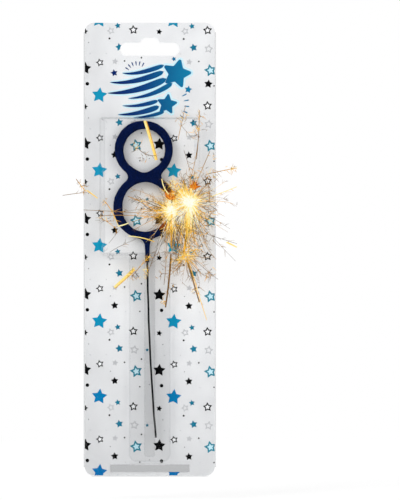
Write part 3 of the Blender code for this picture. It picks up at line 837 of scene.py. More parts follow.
def fold_path(width):
    """Inward distance and depth of the folded edge's outside, from the front to the rail's end.

    Two quarter turns join the sheet to the edge and the edge to the rail behind the card.
    """
    turn = np.linspace(0, np.pi / 2, FOLD_STEPS)
    rail = np.linspace(FOLD_RADIUS, width, FOLD_STEPS)[1:]
    inward = (FOLD_RADIUS * (1 - np.sin(turn)), FOLD_RADIUS * (1 - np.cos(turn)), rail)
    front = SHEET_FRONT + FOLD_RADIUS * (1 - np.cos(turn))
    back = RAIL_BACK - FOLD_RADIUS * (1 - np.sin(turn))
    depth = (front, back, np.full(len(rail), RAIL_BACK))
    return np.concatenate(inward)[1:], np.concatenate(depth)[1:]


def grid_lines(side_in, low_in):
    """The cover's columns and rows: from the left rail's end over the sheet to the right rail's
    end, and from the bottom fold's end up to the head."""
    half_lines = [*np.array(LINES_ACROSS) * MM, (SHEET_EDGE - EDGE_BAND, EDGE_SPACING)]
    half = ruled(half_lines, SHEET_EDGE)
    low_lines = [(SHEET_LOW, EDGE_SPACING), (SHEET_LOW + EDGE_BAND, LOW_SPACING)]
    up_lines = [*np.array(LINES_UP) * MM, (CORNER_START, CORNER_SPACING)]
    columns = (side_in[::-1] - PACK_HALF, -half[:0:-1], half, PACK_HALF - side_in)
    rows = (PACK_BOTTOM + low_in[::-1], ruled(low_lines + up_lines, PACK_TOP))
    return np.concatenate(columns), np.concatenate(rows)


def in_corners(x, z, low_depth):
    """The sheet's X places with its corners rounded: near the head and the foot its outer
    columns keep inside an arc, and on the fold behind the card as far in as at the foot."""
    folded = len(low_depth)
    from_end = np.minimum(PACK_TOP - z, z - PACK_BOTTOM)
    from_end[:folded] = np.where(low_depth[::-1] > 0, 0, from_end[:folded, 0])[:, None]
    bite = PACK_CORNER_RADIUS - np.clip(from_end, 0, PACK_CORNER_RADIUS)
    narrow = SHEET_EDGE - PACK_CORNER_RADIUS + np.sqrt(PACK_CORNER_RADIUS**2 - bite**2)
    past = (np.abs(x) - RAIL_INSIDE) * (narrow - RAIL_INSIDE) / (SHEET_EDGE - RAIL_INSIDE)
    return np.where(np.abs(x) > RAIL_INSIDE, np.sign(x) * (RAIL_INSIDE + past), x)


def cover_quads(columns, z_line, rails, folded):
    """The grid's faces, without those of the rails beside the bottom fold and the corners."""
    quads = grid_quads(len(z_line), columns)
    railed = z_line[:-1] > PACK_BOTTOM + PACK_CORNER_RADIUS - RAIL_REACH_LOW
    railed &= z_line[1:] < CORNER_START + RAIL_REACH_HIGH
    railed[:folded] = False
    keep = np.ones(quads.shape[:2], bool)
    keep[~railed, :rails] = False
    keep[~railed, -rails:] = False
    return quads[keep]


def cover_grid():
    """The cover's outer side, the formed sheet and its folded rails: its points, its faces and
    how much shade is painted on the sheet at each point.

    On a grid of columns and rows, the forms are raised from the sheet, and the outer columns
    and the lowest rows follow the folds behind the card.
    """
    side_in, side_depth = fold_path(RAIL_WIDTH)
    low_in, low_depth = fold_path(BOTTOM_FOLD_WIDTH)
    rails = len(side_in)
    folded = len(low_in)
    x_line, z_line = grid_lines(side_in, low_in)
    z, x = np.meshgrid(z_line, x_line, indexing="ij")
    between = (slice(None), slice(rails, -rails))
    x[between] = in_corners(x[between], z[between], low_depth)
    depth = np.empty(x.shape)
    depth[:, :rails] = side_depth[::-1]
    depth[:, -rails:] = side_depth
    depth[:folded] = low_depth[::-1, None]
    sheet = (slice(folded, None), slice(rails, -rails))
    calm = np.clip((SHEET_EDGE - np.abs(x[sheet])) / CALM_EDGE, 0, 1)
    calm *= np.clip((z[sheet] - SHEET_LOW) / CALM_EDGE, 0, 1)
    x[sheet], z[sheet], height, sheet_painted_shade = cover_heights(x[sheet], z[sheet])
    depth[sheet] = SHEET_FRONT - height * calm
    # Painted shade on the bent folds, and on the sheet as worked out above
    drawn_lines_or_painted_shade = np.where(depth < RAIL_BACK - BENT_MARGIN, FOLD_PAINTED_SHADE, 0)
    drawn_lines_or_painted_shade[sheet] = sheet_painted_shade
    points = np.stack((x, depth, z), axis=-1).reshape(-1, 3)
    return points, cover_quads(len(x_line), z_line, rails, folded), drawn_lines_or_painted_shade.ravel()


def hang_outline():
    """The hang slot's outline: its corners joined by straight sides, and each made an arc."""
    corners = np.array(HANG_CORNERS) * MM
    return rounded(corners[:, :2], corners[:, 2], HANG_CORNER_STEPS)


def cut_with(piece, cutter_mesh, operation="DIFFERENCE"):
    """Cuts a piece with a mesh, or keeps only what lies inside it."""
    cutter = new_object("cutter", cutter_mesh)
    cut = piece.modifiers.new("cut", "BOOLEAN")
    cut.operation = operation
    cut.solver = "EXACT"
    cut.object = cutter
    settle(piece)
    bpy.data.objects.remove(cutter)


def build_cover(finish):
    """The clear cover: one thin sheet with its bubble, stick channel, rails and hang slot."""
    points, quads, drawn_lines_or_painted_shade = cover_grid()
    mesh = face_mesh("formed_cover", points, quads)
    # Keeps the painted shade for the sheet's material
    set_values(mesh, "drawn_lines_or_painted_shade", drawn_lines_or_painted_shade[np.unique(quads)])
    cover = place_piece("formed_cover", mesh, finish, "cover")
    wall = cover.modifiers.new("wall", "SOLIDIFY")
    wall.thickness = SHEET_WALL
    wall.offset = -1
    wall.use_even_offset = False
    settle(cover)
    slot = joined_slabs("slot", [slab(hang_outline(), SHEET_FRONT - MM, SHEET_FRONT + MM)])
    cut_with(cover, slot)
    cover.data.shade_smooth()
    cover.data.set_sharp_from_angle(angle=math.radians(COVER_SMOOTH_ANGLE))
    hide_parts("clear_cover")


# Print on the card

# Depths of an ink's front and back, and how much deeper the front of an ink under it lies
INK_FRONT = -0.05 * MM
INK_BACK = 0.03 * MM
INK_STEP = 0.03 * MM

# The pattern repeats: the big star that starts the first repeat, the steps across and down from
# one repeat to the next, and how much lower the next one on the right lies
PATTERN_X = -28.05 * MM
PATTERN_Z = 16.4 * MM
PATTERN_ACROSS = 41.3 * MM
PATTERN_DOWN = 41.93 * MM
PATTERN_TILT = 0.3 * MM
PATTERN_COLUMNS = range(-1, 3)
PATTERN_ROWS = range(7)

# A star's inner corners and an outlined star's opening, as shares of its width
STAR_WAIST_SHARE = 0.52
STAR_LINE_SHARE = 0.54
DOT_POINTS = 14

# A tail's places along it, its least width as a share, and the power that rounds its broad end
TAIL_PLACES = 26
TAIL_LEAST_WIDTH = 0.02
TAIL_END_POWER = 10

# Each motif: its ink, its form, its width in mm, its tilt in degrees, and how far right of and
# below the big star that starts each repeat it lies, in mm
MOTIFS = (
    ("blue", "star", 9.0, -6, 0.0, 0.0),
    ("deep_teal", "star", 3.5, 10, 10.2, 3.3),
    ("black", "outline", 5.5, 4, 18.9, 5.6),
    ("black", "star", 3.4, -12, 33.3, 6.7),
    ("black", "dot", 1.1, 0, 5.6, 10.4),
    ("black", "dot", 0.5, 0, 35.3, 13.0),
    ("deep_teal", "star", 4.6, 12, 11.1, 15.2),
    ("pale", "outline", 5.4, -8, 19.5, 15.9),
    ("deep_teal", "star", 2.1, 0, 26.6, 16.0),
    ("pale", "dot", 0.7, 0, 36.2, 19.0),
    ("pale", "dot", 0.6, 0, 3.8, 18.7),
    ("black", "dot", 0.9, 0, 23.4, 21.1),
    ("black", "outline", 4.7, 15, 0.3, 23.8),
    ("pale", "star", 3.6, -10, 8.7, 23.2),
    ("black", "dot", 0.9, 0, 14.0, 22.9),
    ("black", "star", 7.2, -4, 33.3, 27.3),
    ("teal", "outline", 7.4, 12, 20.5, 27.9),
    ("black", "dot", 0.45, 0, 6.1, 27.9),
    ("black", "star", 4.4, 5, 8.5, 33.2),
    ("black", "dot", 2.0, 0, 34.6, 35.9),
    ("pale", "dot", 0.5, 0, 14.6, 36.6),
    ("black", "dot", 0.8, 0, 22.5, 36.5),
    ("black", "dot", 0.45, 0, 27.8, 35.3),
    ("pale", "outline", 4.6, 20, 6.4, 6.1),
)
INKS = {
    "blue": ((0.008, 0.31, 0.52), (0.004, 0.24, 0.44)),
    "deep_teal": ((0.018, 0.215, 0.32), (0.010, 0.155, 0.26)),
    "teal": ((0.035, 0.25, 0.34), (0.020, 0.19, 0.27)),
    "teal_fill": ((0.60, 0.83, 0.90), (0.52, 0.78, 0.88)),
    "black": ((0.003, 0.003, 0.004), (0.0015, 0.0015, 0.002)),
    "white_fill": ((0.93, 0.93, 0.93), (0.89, 0.89, 0.90)),
    "pale": ((0.56, 0.56, 0.57), (0.51, 0.51, 0.53)),
}
FILLS = {"teal": "teal_fill", "black": "white_fill"}

# A single black star beside the flying stars: X and Z, its width in mm and its tilt in degrees
LONE_STAR = (32.6, -19.3, 5.0, -6)

# The blue ink's colours up the card, from its foot to its head
BLUE_STOPS = (
    (0.0, (0.001, 0.145, 0.395)),
    (0.20, (0.001, 0.200, 0.440)),
    (0.40, (0.004, 0.300, 0.480)),
    (0.66, (0.010, 0.315, 0.520)),
    (1.0, (0.003, 0.245, 0.400)),
)

# The place that the flying stars, their tails and strokes take, which the pattern leaves free
HEAD_LEFT = -24.5 * MM
HEAD_RIGHT = 24.5 * MM
HEAD_LOW = -38.5 * MM
HEAD_HIGH = -7.5 * MM


def star_outline(width, tilt, waist=STAR_WAIST_SHARE, tip=0.016, steps=3):
    """A five-pointed star: ten corners on two circles in turn, its tips a little rounded."""
    turn = np.radians(90 + tilt) + np.arange(10) * np.pi / 5
    reach = np.where(np.arange(10) % 2 == 0, 0.5, 0.5 * waist) * width
    corners = plane_ways(turn) * reach[:, None]
    return rounded(corners, np.tile((tip * width, tip * width / 2), 5), steps)


def placed_star(x, z, width, tilt, *form):
    """A star's outline at its place on the card, both given in mm."""
    return star_outline(width * MM, tilt, *form) + np.array((x, z)) * MM


def dot_outline(width):
    """A round dot: points evenly round a circle."""
    return plane_ways(np.arange(DOT_POINTS) * 2 * np.pi / DOT_POINTS) * width / 2


def tail_outline(start, bend, end, width, shape):
    """A curved stroke, its ends and bend given in mm, that swells from its point to its full
    width and ends rounded. It swells by a power of the share of its length."""
    share = np.linspace(0, 1, TAIL_PLACES)[:, None]
    line = along_curve(share, *(np.asarray(point, float) * MM for point in (start, bend, end)))
    way = unit(np.gradient(line, axis=0))
    side = np.stack((way[:, 1], -way[:, 0]), axis=1)
    swell = share**shape * np.sqrt(np.clip(1 - share**TAIL_END_POWER, 0, 1))
    half = np.maximum(swell, TAIL_LEAST_WIDTH) * width * MM / 2
    return np.concatenate((line + side * half, (line - side * half)[::-1]))


def on_bare_card(at, size):
    """Whether a motif reaches on to the card and its middle is clear of the flying stars."""
    on_card = (at + size / 2 > CARD_LOW[[0, 2]]) & (at - size / 2 < CARD_HIGH[[0, 2]])
    in_head = HEAD_LEFT < at[0] < HEAD_RIGHT and HEAD_LOW < at[1] < HEAD_HIGH
    return on_card.all() and not in_head


def pattern_slabs():
    """The repeating scatter of stars and dots, as slabs listed by ink."""
    slabs = {ink: [] for ink in INKS}
    for column, row, motif in itertools.product(PATTERN_COLUMNS, PATTERN_ROWS, MOTIFS):
        ink, form, width, tilt, right, down = motif
        size = width * MM
        x = PATTERN_X + column * PATTERN_ACROSS + right * MM
        z = PATTERN_Z - row * PATTERN_DOWN - column * PATTERN_TILT - down * MM
        at = np.array((x, z))
        if not on_bare_card(at, size):
            continue
        edge = dot_outline(size) if form == "dot" else star_outline(size, tilt)
        opening = star_outline(size * STAR_LINE_SHARE, tilt) + at if form == "outline" else None
        slabs[ink].append(slab(edge + at, INK_FRONT, INK_BACK, opening))
        if form == "outline" and ink in FILLS:
            fill = star_outline(size * (1 + STAR_LINE_SHARE) / 2, tilt) + at
            slabs[FILLS[ink]].append(slab(fill, INK_FRONT + INK_STEP, INK_BACK))
    slabs["black"].append(slab(placed_star(*LONE_STAR), INK_FRONT, INK_BACK))
    return slabs


def card_prism():
    """The card's outline with its slots, as a deep closed block that clips the print."""
    shell = merged_copy("backing_card")
    middle = (CARD_LOW[1] + CARD_HIGH[1]) / 2
    for vert in shell.verts:
        vert.co.y = -MM if vert.co.y < middle else MM
    mesh = bpy.data.meshes.new("card_prism")
    shell.to_mesh(mesh)
    shell.free()
    return mesh


def build_print():
    """The card's print: the star scatter and the flying stars at its head."""
    for ink, slabs in pattern_slabs().items():
        name = f"printed_{ink}"
        if ink == "blue":
            finish = graded_ink_finish(name, BLUE_STOPS, PACK_BOTTOM, PACK_TOP, "Z")
        else:
            finish = ink_finish(name, *INKS[ink])
        piece = place_piece(name, joined_slabs(name, slabs), finish, "card")
        cut_with(piece, card_prism(), "INTERSECT")
    build_head_print()


# Each tail of the flying stars: its point, its bend and its broad end, in mm, and its width
TAILS = (
    ((-23.6, -24.4), (-8.0, -24.8), (9.2, -16.4), 4.6),
    ((-22.2, -18.4), (-9.5, -19.8), (7.8, -12.4), 3.9),
    ((-15.4, -13.2), (-7.0, -14.8), (8.0, -8.8), 3.1),
    ((-12.2, -27.4), (1.0, -26.8), (12.6, -18.8), 3.3),
    ((-17.8, -36.4), (-6.0, -36.6), (5.2, -31.8), 3.6),
    ((-15.4, -31.4), (-6.0, -32.4), (4.6, -28.6), 2.8),
    ((-9.4, -38.0), (0.5, -37.8), (8.0, -34.6), 2.4),
)

# Flying stars and small stars round them: X, Z and width in mm, and tilt in degrees
FLYING_STARS = ((15.0, -13.6, 18.5, -14), (9.6, -30.6, 13.0, -8))
SMALL_STARS = ((-19.8, -13.2, 4.2, 12), (21.4, -22.4, 4.4, -10), (13.4, -5.4, 2.8, 20))

# Fans of short strokes: the middle, the inner and outer reach in mm, the first and last angle
# in degrees, and how many
STROKE_FANS = ((-7.0, -14.6, 5.5, 8.0, 62, 146, 6), (9.6, -30.6, 9.4, 12.4, -40, 28, 5))
STROKE_WIDTH = 0.75

# How much wider the halo is than a tail, and than a star, in mm
HALO_WIDTH = 1.7
STAR_HALO_WIDTH = 2.4 * HALO_WIDTH

# The flying stars' and their halo's inner corners, how round their tips are and in how many
# steps
FLYING_STAR_FORM = (0.5, 0.05, 6)
HALO_STAR_FORM = (0.52, 0.08, 6)

# Colours of the halo, and of the flying stars and tails from left to right
HALO_COLORS = ((0.62, 0.84, 0.90), (0.54, 0.79, 0.88))
FLYING_STOPS = (
    (0.0, (0.004, 0.012, 0.10)),
    (0.45, (0.004, 0.05, 0.20)),
    (1.0, (0.006, 0.21, 0.38)),
)

# Powers by which tails, their halo and the strokes swell
TAIL_SHAPE, HALO_SHAPE, STROKE_SHAPE = 0.6, 0.4, 0.35


def build_head_print():
    """The flying stars and tails in graded blue, on a pale halo, and strokes round them."""
    graded = [tail_outline(*tail, TAIL_SHAPE) for tail in TAILS]
    halo = [tail_outline(*tail[:3], tail[3] + HALO_WIDTH, HALO_SHAPE) for tail in TAILS]
    for x, z, width, tilt in FLYING_STARS:
        graded.append(placed_star(x, z, width, tilt, *FLYING_STAR_FORM))
        halo.append(placed_star(x, z, width + STAR_HALO_WIDTH, tilt, *HALO_STAR_FORM))
    graded += [placed_star(*star) for star in SMALL_STARS]
    for x, z, inner, outer, first, last, count in STROKE_FANS:
        for way in plane_ways(np.radians(np.linspace(first, last, count))):
            ends = [(x, z) + reach * way for reach in (inner, (inner + outer) / 2, outer)]
            graded.append(tail_outline(*ends, STROKE_WIDTH, STROKE_SHAPE))
    finish = graded_ink_finish("printed_flying_star", FLYING_STOPS, HEAD_LEFT, HEAD_RIGHT)
    pale = ink_finish("printed_halo", *HALO_COLORS)
    for name, outlines, material, front in (
        ("printed_halo", halo, pale, INK_FRONT + INK_STEP),
        ("printed_flying_star", graded, finish, INK_FRONT),
    ):
        step = INK_STEP / len(outlines)
        slabs = [slab(edge, front - i * step / 2, INK_BACK) for i, edge in enumerate(outlines)]
        place_piece(name, joined_slabs(name, slabs), material, "card")


# Sparkler

# The coating is made anew without the wire's tunnel: what lies nearer to the wire than a gap is
# cut out, and the rest is turned into even facets and softened
TUNNEL_GAP = 0.45 * MM
COATING_VOXEL = 0.3 * MM
SOFTEN_SHARE = 0.5
SOFTEN_TIMES = 6

# Waves of its grain, its lumps and its swells: wavelength and height in mm, and seed
COATING_WAVES = ((0.9, 0.026, 11), (5.0, 0.035, 12), (16.0, 0.05, 13))

# Painted light and shade by the coating's relief, as the share of its painted highlight: on the
# whole, and what high grains and lumps add
RELIEF_SHADE_MEAN = 0.5
RELIEF_SHADE_OF_GRAIN = 0.3
RELIEF_SHADE_OF_LUMPS = 0.15

# The burning stretch of the lower ring: its middle, its reach across and up, the shares of that
# reach where it glows fully and where it ends, and how ragged that end is
FIRE_MIDDLE = np.array((12.6, -2.5, -90.0)) * MM
FIRE_REACH = np.array((10.0, 15.5)) * MM
FIRE_FULL = 0.35
FIRE_EDGE = 1.0
FIRE_RAGGED = 0.05

# The neck's foot is tinted below this height
FOOT_HIGH = -113.5 * MM

# Where the dipped coating is thicker than its mould's outline: a little all over, and more on
# one side of each ring, given as whether it is the ring above the waist, the ring's middle, the
# angle of the thickest place in degrees, and what the ring's inside and outside gain there in
# mm. The neck keeps its size, below its top and a blend.
RING_GAIN = 0.11 * MM
RING_SWELLINGS = (
    (True, UPPER_CENTRE, 136, 0.50, 0.22),
    (False, LOWER_CENTRE, 175, 0.36, -0.22),
)
NECK_TOP = -104.0 * MM
NECK_BLEND = 4.0 * MM


def pack_place(across, up):
    """X and Z of the pack for a place in the leaning digit's own plane."""
    x = DIGIT_SHIFT + across * math.cos(DIGIT_LEAN) - up * math.sin(DIGIT_LEAN)
    z = DIGIT_Z + across * math.sin(DIGIT_LEAN) + up * math.cos(DIGIT_LEAN)
    return x, z


def ring_swelling(points, normals):
    """How far each point moves out in the pack's plane: a little all over, and more on one
    side of each ring, by the square of the cosine of the angle from its thickest place."""
    gain = np.full(len(points), RING_GAIN)
    for is_upper, centre, thickest, inside, outside in RING_SWELLINGS:
        way = points[:, (0, 2)] - pack_place(*centre)
        turn = np.arctan2(way[:, 1], way[:, 0]) - math.radians(thickest)
        share = np.clip(np.cos(turn), 0, 1) ** 2
        outward = np.sum(way * normals[:, (0, 2)], axis=1) > 0
        on_ring = (points[:, 2] > DIGIT_Z) == is_upper
        gain += np.where(on_ring, share * np.where(outward, outside, inside) * MM, 0)
    return gain * np.clip((points[:, 2] - NECK_TOP) / NECK_BLEND + 1, 0, 1)


def even_coating(finish):
    """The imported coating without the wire's tunnel, made of fine even facets and softened."""
    shell = merged_copy("sparkler_coating")
    wire = merged_copy("sparkler_wire")
    places, core = (np.array([vert.co for vert in part.verts]) for part in (shell, wire))
    wire.free()
    gaps = np.linalg.norm(places[:, None] - core[None], axis=2).min(axis=1)
    shell.verts.ensure_lookup_table()
    tunnel = [shell.verts[i] for i in np.flatnonzero(gaps < TUNNEL_GAP)]
    bmesh.ops.delete(shell, geom=tunnel, context="VERTS")
    mesh = closed_mesh(shell, bpy.data.meshes.new("grained_coating"))
    coating = place_piece("grained_coating", mesh, finish, "sparkler")
    remesh = coating.modifiers.new("even", "REMESH")
    remesh.mode = "VOXEL"
    remesh.voxel_size = COATING_VOXEL
    soften = coating.modifiers.new("soften", "SMOOTH")
    soften.factor = SOFTEN_SHARE
    soften.iterations = SOFTEN_TIMES
    return settle(coating)


def build_coating(finish):
    """The digit's coating, with the grain, the drips and the thick places of a dipped surface,
    and with its burn round the fire and its tint at the neck's foot."""
    coating = even_coating(finish)
    mesh = coating.data
    points, normals = np.empty((2, len(mesh.vertices) * 3))
    mesh.vertices.foreach_get("co", points)
    mesh.vertex_normals.foreach_get("vector", normals)
    points = points.reshape(-1, 3)
    normals = normals.reshape(-1, 3)
    waves = [ripples(points, length * MM, seed) for length, height, seed in COATING_WAVES]
    relief = sum(height * MM * wave for (_, height, _), wave in zip(COATING_WAVES, waves))
    swelling = ring_swelling(points, normals)
    points += normals * relief[:, None]
    points[:, (0, 2)] += normals[:, (0, 2)] * swelling[:, None]
    mesh.vertices.foreach_set("co", points.ravel())
    grain, lumps = waves[:2]
    away = np.linalg.norm((points - FIRE_MIDDLE)[:, (0, 2)] / FIRE_REACH, axis=1)
    away += FIRE_RAGGED * (lumps + 0.5 * grain)
    below = (FOOT_HIGH - points[:, 2]) / (FOOT_HIGH - COATING_FOOT)
    for name, values in (
        # Painted light and shade: the share of painted highlight, higher on high grains and lumps
        ("relief", RELIEF_SHADE_MEAN + RELIEF_SHADE_OF_GRAIN * grain + RELIEF_SHADE_OF_LUMPS * lumps),
        ("burn", (FIRE_EDGE - away) / (FIRE_EDGE - FIRE_FULL)),
        ("foot", below),
    ):
        set_values(mesh, name, np.clip(values, 0, 1))
    mesh.update()
    mesh.shade_smooth()
    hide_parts("sparkler_coating")


# Where on the lower ring the wire comes in and ends, as angles in degrees, and the places of its
# middle line: how many on the stick, and at most how many degrees apart on the rings
WIRE_ENTRY_ANGLE = -70
WIRE_END_ANGLE = 258
STICK_PLACES = 90
ARC_STEP = 5


def arc_points(centre, radius, start, end):
    """Points of a circle's arc between two angles in degrees."""
    count = max(2, math.ceil(abs(end - start) / ARC_STEP) + 1)
    turn = np.radians(np.linspace(start, end, count))
    return np.array(centre) + plane_ways(turn) * radius


def wire_route():
    """The wire's middle line: the stick from its cut end up, then once round the 8.

    The stick's slant grows evenly down its length. Inside the digit the wire turns into the
    lower ring's right side, crosses the waist, runs over the top, crosses back and ends
    beside the neck, and the two strands pass each other in depth at the waist.
    """
    down = np.linspace(STICK_LENGTH, 0, STICK_PLACES)
    growth = (STICK_TIP_SLANT - STICK_TOP_SLANT) * down**2 / (2 * STICK_LENGTH)
    stick = np.stack((STICK_SHIFT + STICK_TOP_SLANT * down + growth, STICK_TOP - down), axis=1)
    span = UPPER_CENTRE[1] - LOWER_CENTRE[1]
    side = 90 - math.degrees(math.acos((UPPER_CORE_RADIUS + LOWER_CORE_RADIUS) / span))
    right = arc_points(LOWER_CENTRE, LOWER_CORE_RADIUS, WIRE_ENTRY_ANGLE, side)
    top = arc_points(UPPER_CENTRE, UPPER_CORE_RADIUS, 180 + side, -side)
    left = arc_points(LOWER_CENTRE, LOWER_CORE_RADIUS, 180 - side, WIRE_END_ANGLE)
    front = np.concatenate((right, top[: len(top) // 2]))
    rear = np.concatenate((top[len(top) // 2 :], left))
    depths = []
    for strand, sign in ((front, -1), (rear, 1)):
        share = np.minimum(1, np.linalg.norm(strand, axis=1) / WIRE_CROSSING_REACH)
        depths.append(sign * WIRE_CROSSING_DEPTH * np.cos(share * np.pi / 2) ** 2)
    plane = np.concatenate((stick, front, rear))
    depth = np.concatenate((np.zeros(len(stick)), *depths))
    x, z = pack_place(plane[:, 0], plane[:, 1])
    return np.stack((x, DIGIT_Y + depth, z), axis=1)


def tube_rings(line, radii, sides=14):
    """An open round bar: points in a ring round each place of a line, and its faces.

    The rings keep one direction, the pack's depth, as their first axis, which suits a line
    that lies nearly in one upright plane.
    """
    way = unit(np.gradient(line, axis=0))
    first = unit(np.array((0.0, 1.0, 0.0)) - way * way[:, 1:2])
    second = np.cross(way, first)
    turn = (np.arange(sides) * 2 * np.pi / sides)[None, :, None]
    ring = np.cos(turn) * first[:, None] + np.sin(turn) * second[:, None]
    rings = line[:, None] + ring * np.asarray(radii)[:, None, None]
    return rings.reshape(-1, 3), grid_quads(len(line), sides, wrap=True)


# The wire's unevenness: how far its thickness varies and over what lengths, its cut end's
# share of the full thickness, its waver to the sides, and the angle up to which it is smooth
WIRE_VARIES = 0.02
WIRE_VARIES_OVER = (3.1 * MM, 1.3 * MM)
CUT_END = 0.82
WAVER = 0.04 * MM
WAVER_LENGTH = 22 * MM
WIRE_SMOOTH_ANGLE = 50


def build_wire(finish):
    """The whole wire: a round bar along its route. Its thickness varies by the product of two
    long waves, it wavers a little to the sides, and its cut end is slightly crushed."""
    line = wire_route()
    step = np.linalg.norm(np.diff(line, axis=0), axis=1)
    along = np.concatenate(([0], np.cumsum(step)))
    long_wave, short_wave = (np.sin(along / length) for length in WIRE_VARIES_OVER)
    radii = WIRE_RADIUS * (1 + WIRE_VARIES * long_wave * short_wave)
    radii[0] *= CUT_END
    line = line + WAVER * ripples(along[:, None], WAVER_LENGTH, seed=21)[:, None] * (1, 0, 0)
    mesh = face_mesh("drawn_wire", *tube_rings(line, radii))
    shell = bmesh.new()
    shell.from_mesh(mesh)
    closed_mesh(shell, mesh)
    wire = place_piece(
        "drawn_wire", mesh, finish, "sparkler", WIRE_SMOOTH_ANGLE
    )
    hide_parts("sparkler_wire")


# Burst of sparks

# Fires: X, depth and Z in mm, the reach of their heat in mm, and how hot they are. The first two
# are the white-hot middles, and the embers are small and orange.
FIRES = (
    (22.1, -10.8, -85.6, 6.2, 1.22),
    (11.8, -10.6, -90.0, 4.8, 1.15),
    (24.9, -13.2, -77.4, 2.6, 0.38),
    (20.1, -10.6, -115.0, 4.5, 0.72),
    (18.4, -10.8, -80.4, 4.4, 0.80),
    (11.4, -13.2, -83.0, 2.2, 0.38),
)
EMBERS = (2, 5)

# A spark's shape: its sides, the places along it, a direction that no spark flies in, the share
# of its length where it is thickest, and the shares of that thickness that it has at its start
# and its end, also for flying sparks
SPARK_SIDES = 3
SPARK_PLACES = 6
SPARK_SIDE_WAY = (0.31, 0.87, 0.38)
SPARK_THICKEST = 0.25
SPARK_TAPER = (0.75, 0.3)
STREAK_TAPER = (0.8, 0.75)

# Where sparks may be: in front of the cover, and within the pack's reach to both sides
SPARK_FRONT = -15.5 * MM
SPARK_BACK = -9.3 * MM
SPARK_RIGHT = 48.4 * MM
SPARK_LEFT = -48.0 * MM

# How far sparks fly out of the pack's plane, as the spread of their slope
SPARK_LIFT = 0.22

# Twigs that fork from a spark: the share of its length from which they start, their turn away
# from it in degrees, their length, radius and bend in mm, and their heat, as a share of the
# spark's with this much more at most, and as the share that their tips keep
FORK_START = 0.35
FORK_TURN = (18, 60)
FORK_LENGTH = (1.2, 4.4)
FORK_RADIUS = (0.09, 0.17)
FORK_BEND = 0.25
FORK_HEAT = 0.5
FORK_EXTRA_HEAT = 0.3
FORK_TIP_HEAT = 0.6

# Fans of sparks: the fire that each one starts from, how many, the middle and the half width of
# its spread in degrees, its shortest and longest reach in mm, its radius in mm, how hot it is,
# and how many twigs fork from each spark
FANS = (
    (0, 700, 90, 180, 1.0, 5.6, 0.40, 1.0, 0),
    (1, 460, 90, 180, 0.8, 4.2, 0.37, 1.0, 0),
    (4, 150, 90, 180, 1.0, 5.0, 0.32, 0.74, 0),
    (0, 60, 110, 110, 5.0, 11.5, 0.28, 0.82, 1),
    (1, 52, 110, 150, 4.0, 8.5, 0.26, 0.80, 1),
    (2, 80, 85, 90, 0.6, 3.6, 0.40, 0.43, 0),
    (0, 16, 0, 75, 5.0, 15.0, 0.22, 0.62, 2),
    (0, 26, 15, 120, 5.0, 12.0, 0.16, 0.08, 2),
    (1, 24, 150, 100, 4.0, 12.0, 0.16, 0.08, 2),
    (3, 24, 90, 180, 3.0, 12.0, 0.15, 0.08, 2),
    (0, 15, 5, 60, 12.0, 26.0, 0.17, 0.40, 3),
    (0, 10, 60, 45, 10.0, 22.0, 0.16, 0.34, 4),
    (0, 16, 135, 35, 9.0, 17.0, 0.20, 0.48, 3),
    (1, 16, 172, 26, 10.0, 24.0, 0.16, 0.34, 4),
    (1, 12, 230, 30, 8.0, 20.0, 0.15, 0.30, 3),
    (0, 22, 268, 36, 7.0, 26.0, 0.26, 0.60, 2),
    (1, 11, 276, 26, 7.0, 22.0, 0.24, 0.58, 2),
    (1, 26, 276, 30, 7.0, 24.0, 0.15, 0.08, 2),
    (1, 22, 271, 5, 9.0, 20.0, 0.24, 0.54, 1),
    (0, 34, 265, 5, 12.0, 27.0, 0.27, 0.66, 1),
    (3, 16, 100, 170, 1.5, 6.5, 0.28, 0.62, 1),
    (3, 22, 275, 60, 6.0, 17.0, 0.18, 0.34, 3),
    (0, 24, 255, 45, 9.0, 24.0, 0.17, 1.30, 2),
    (1, 12, 262, 42, 8.0, 22.0, 0.15, 1.30, 2),
    (5, 46, 90, 100, 0.6, 3.0, 0.36, 0.42, 0),
    (0, 30, 262, 34, 9.0, 26.0, 0.15, 0.05, 2),
)

# How a fan's sparks differ: how few of them reach far, how far from their fire they start, in mm
# and as a share of their length, their bend as such a share, their thickness and their heat, and
# under what heat they start outside the fire's white middle
REACH_POWER = 1.4
ROOT_SCATTER = 0.5
ROOT_SHARE = 0.25
BEND_SHARE = 0.12
RADIUS_SPREAD = (0.55, 1.15)
HEAT_SPREAD = 0.10
COOL_SPARK = 0.2

# The least and most that a spark keeps of its heat, and the least in hot and in short fans
LEAST_KEPT = 0.2
MOST_KEPT = 0.85
LEAST_KEPT_HOT = 0.45
HOT_FAN = 0.9
SHORT_FAN = 4

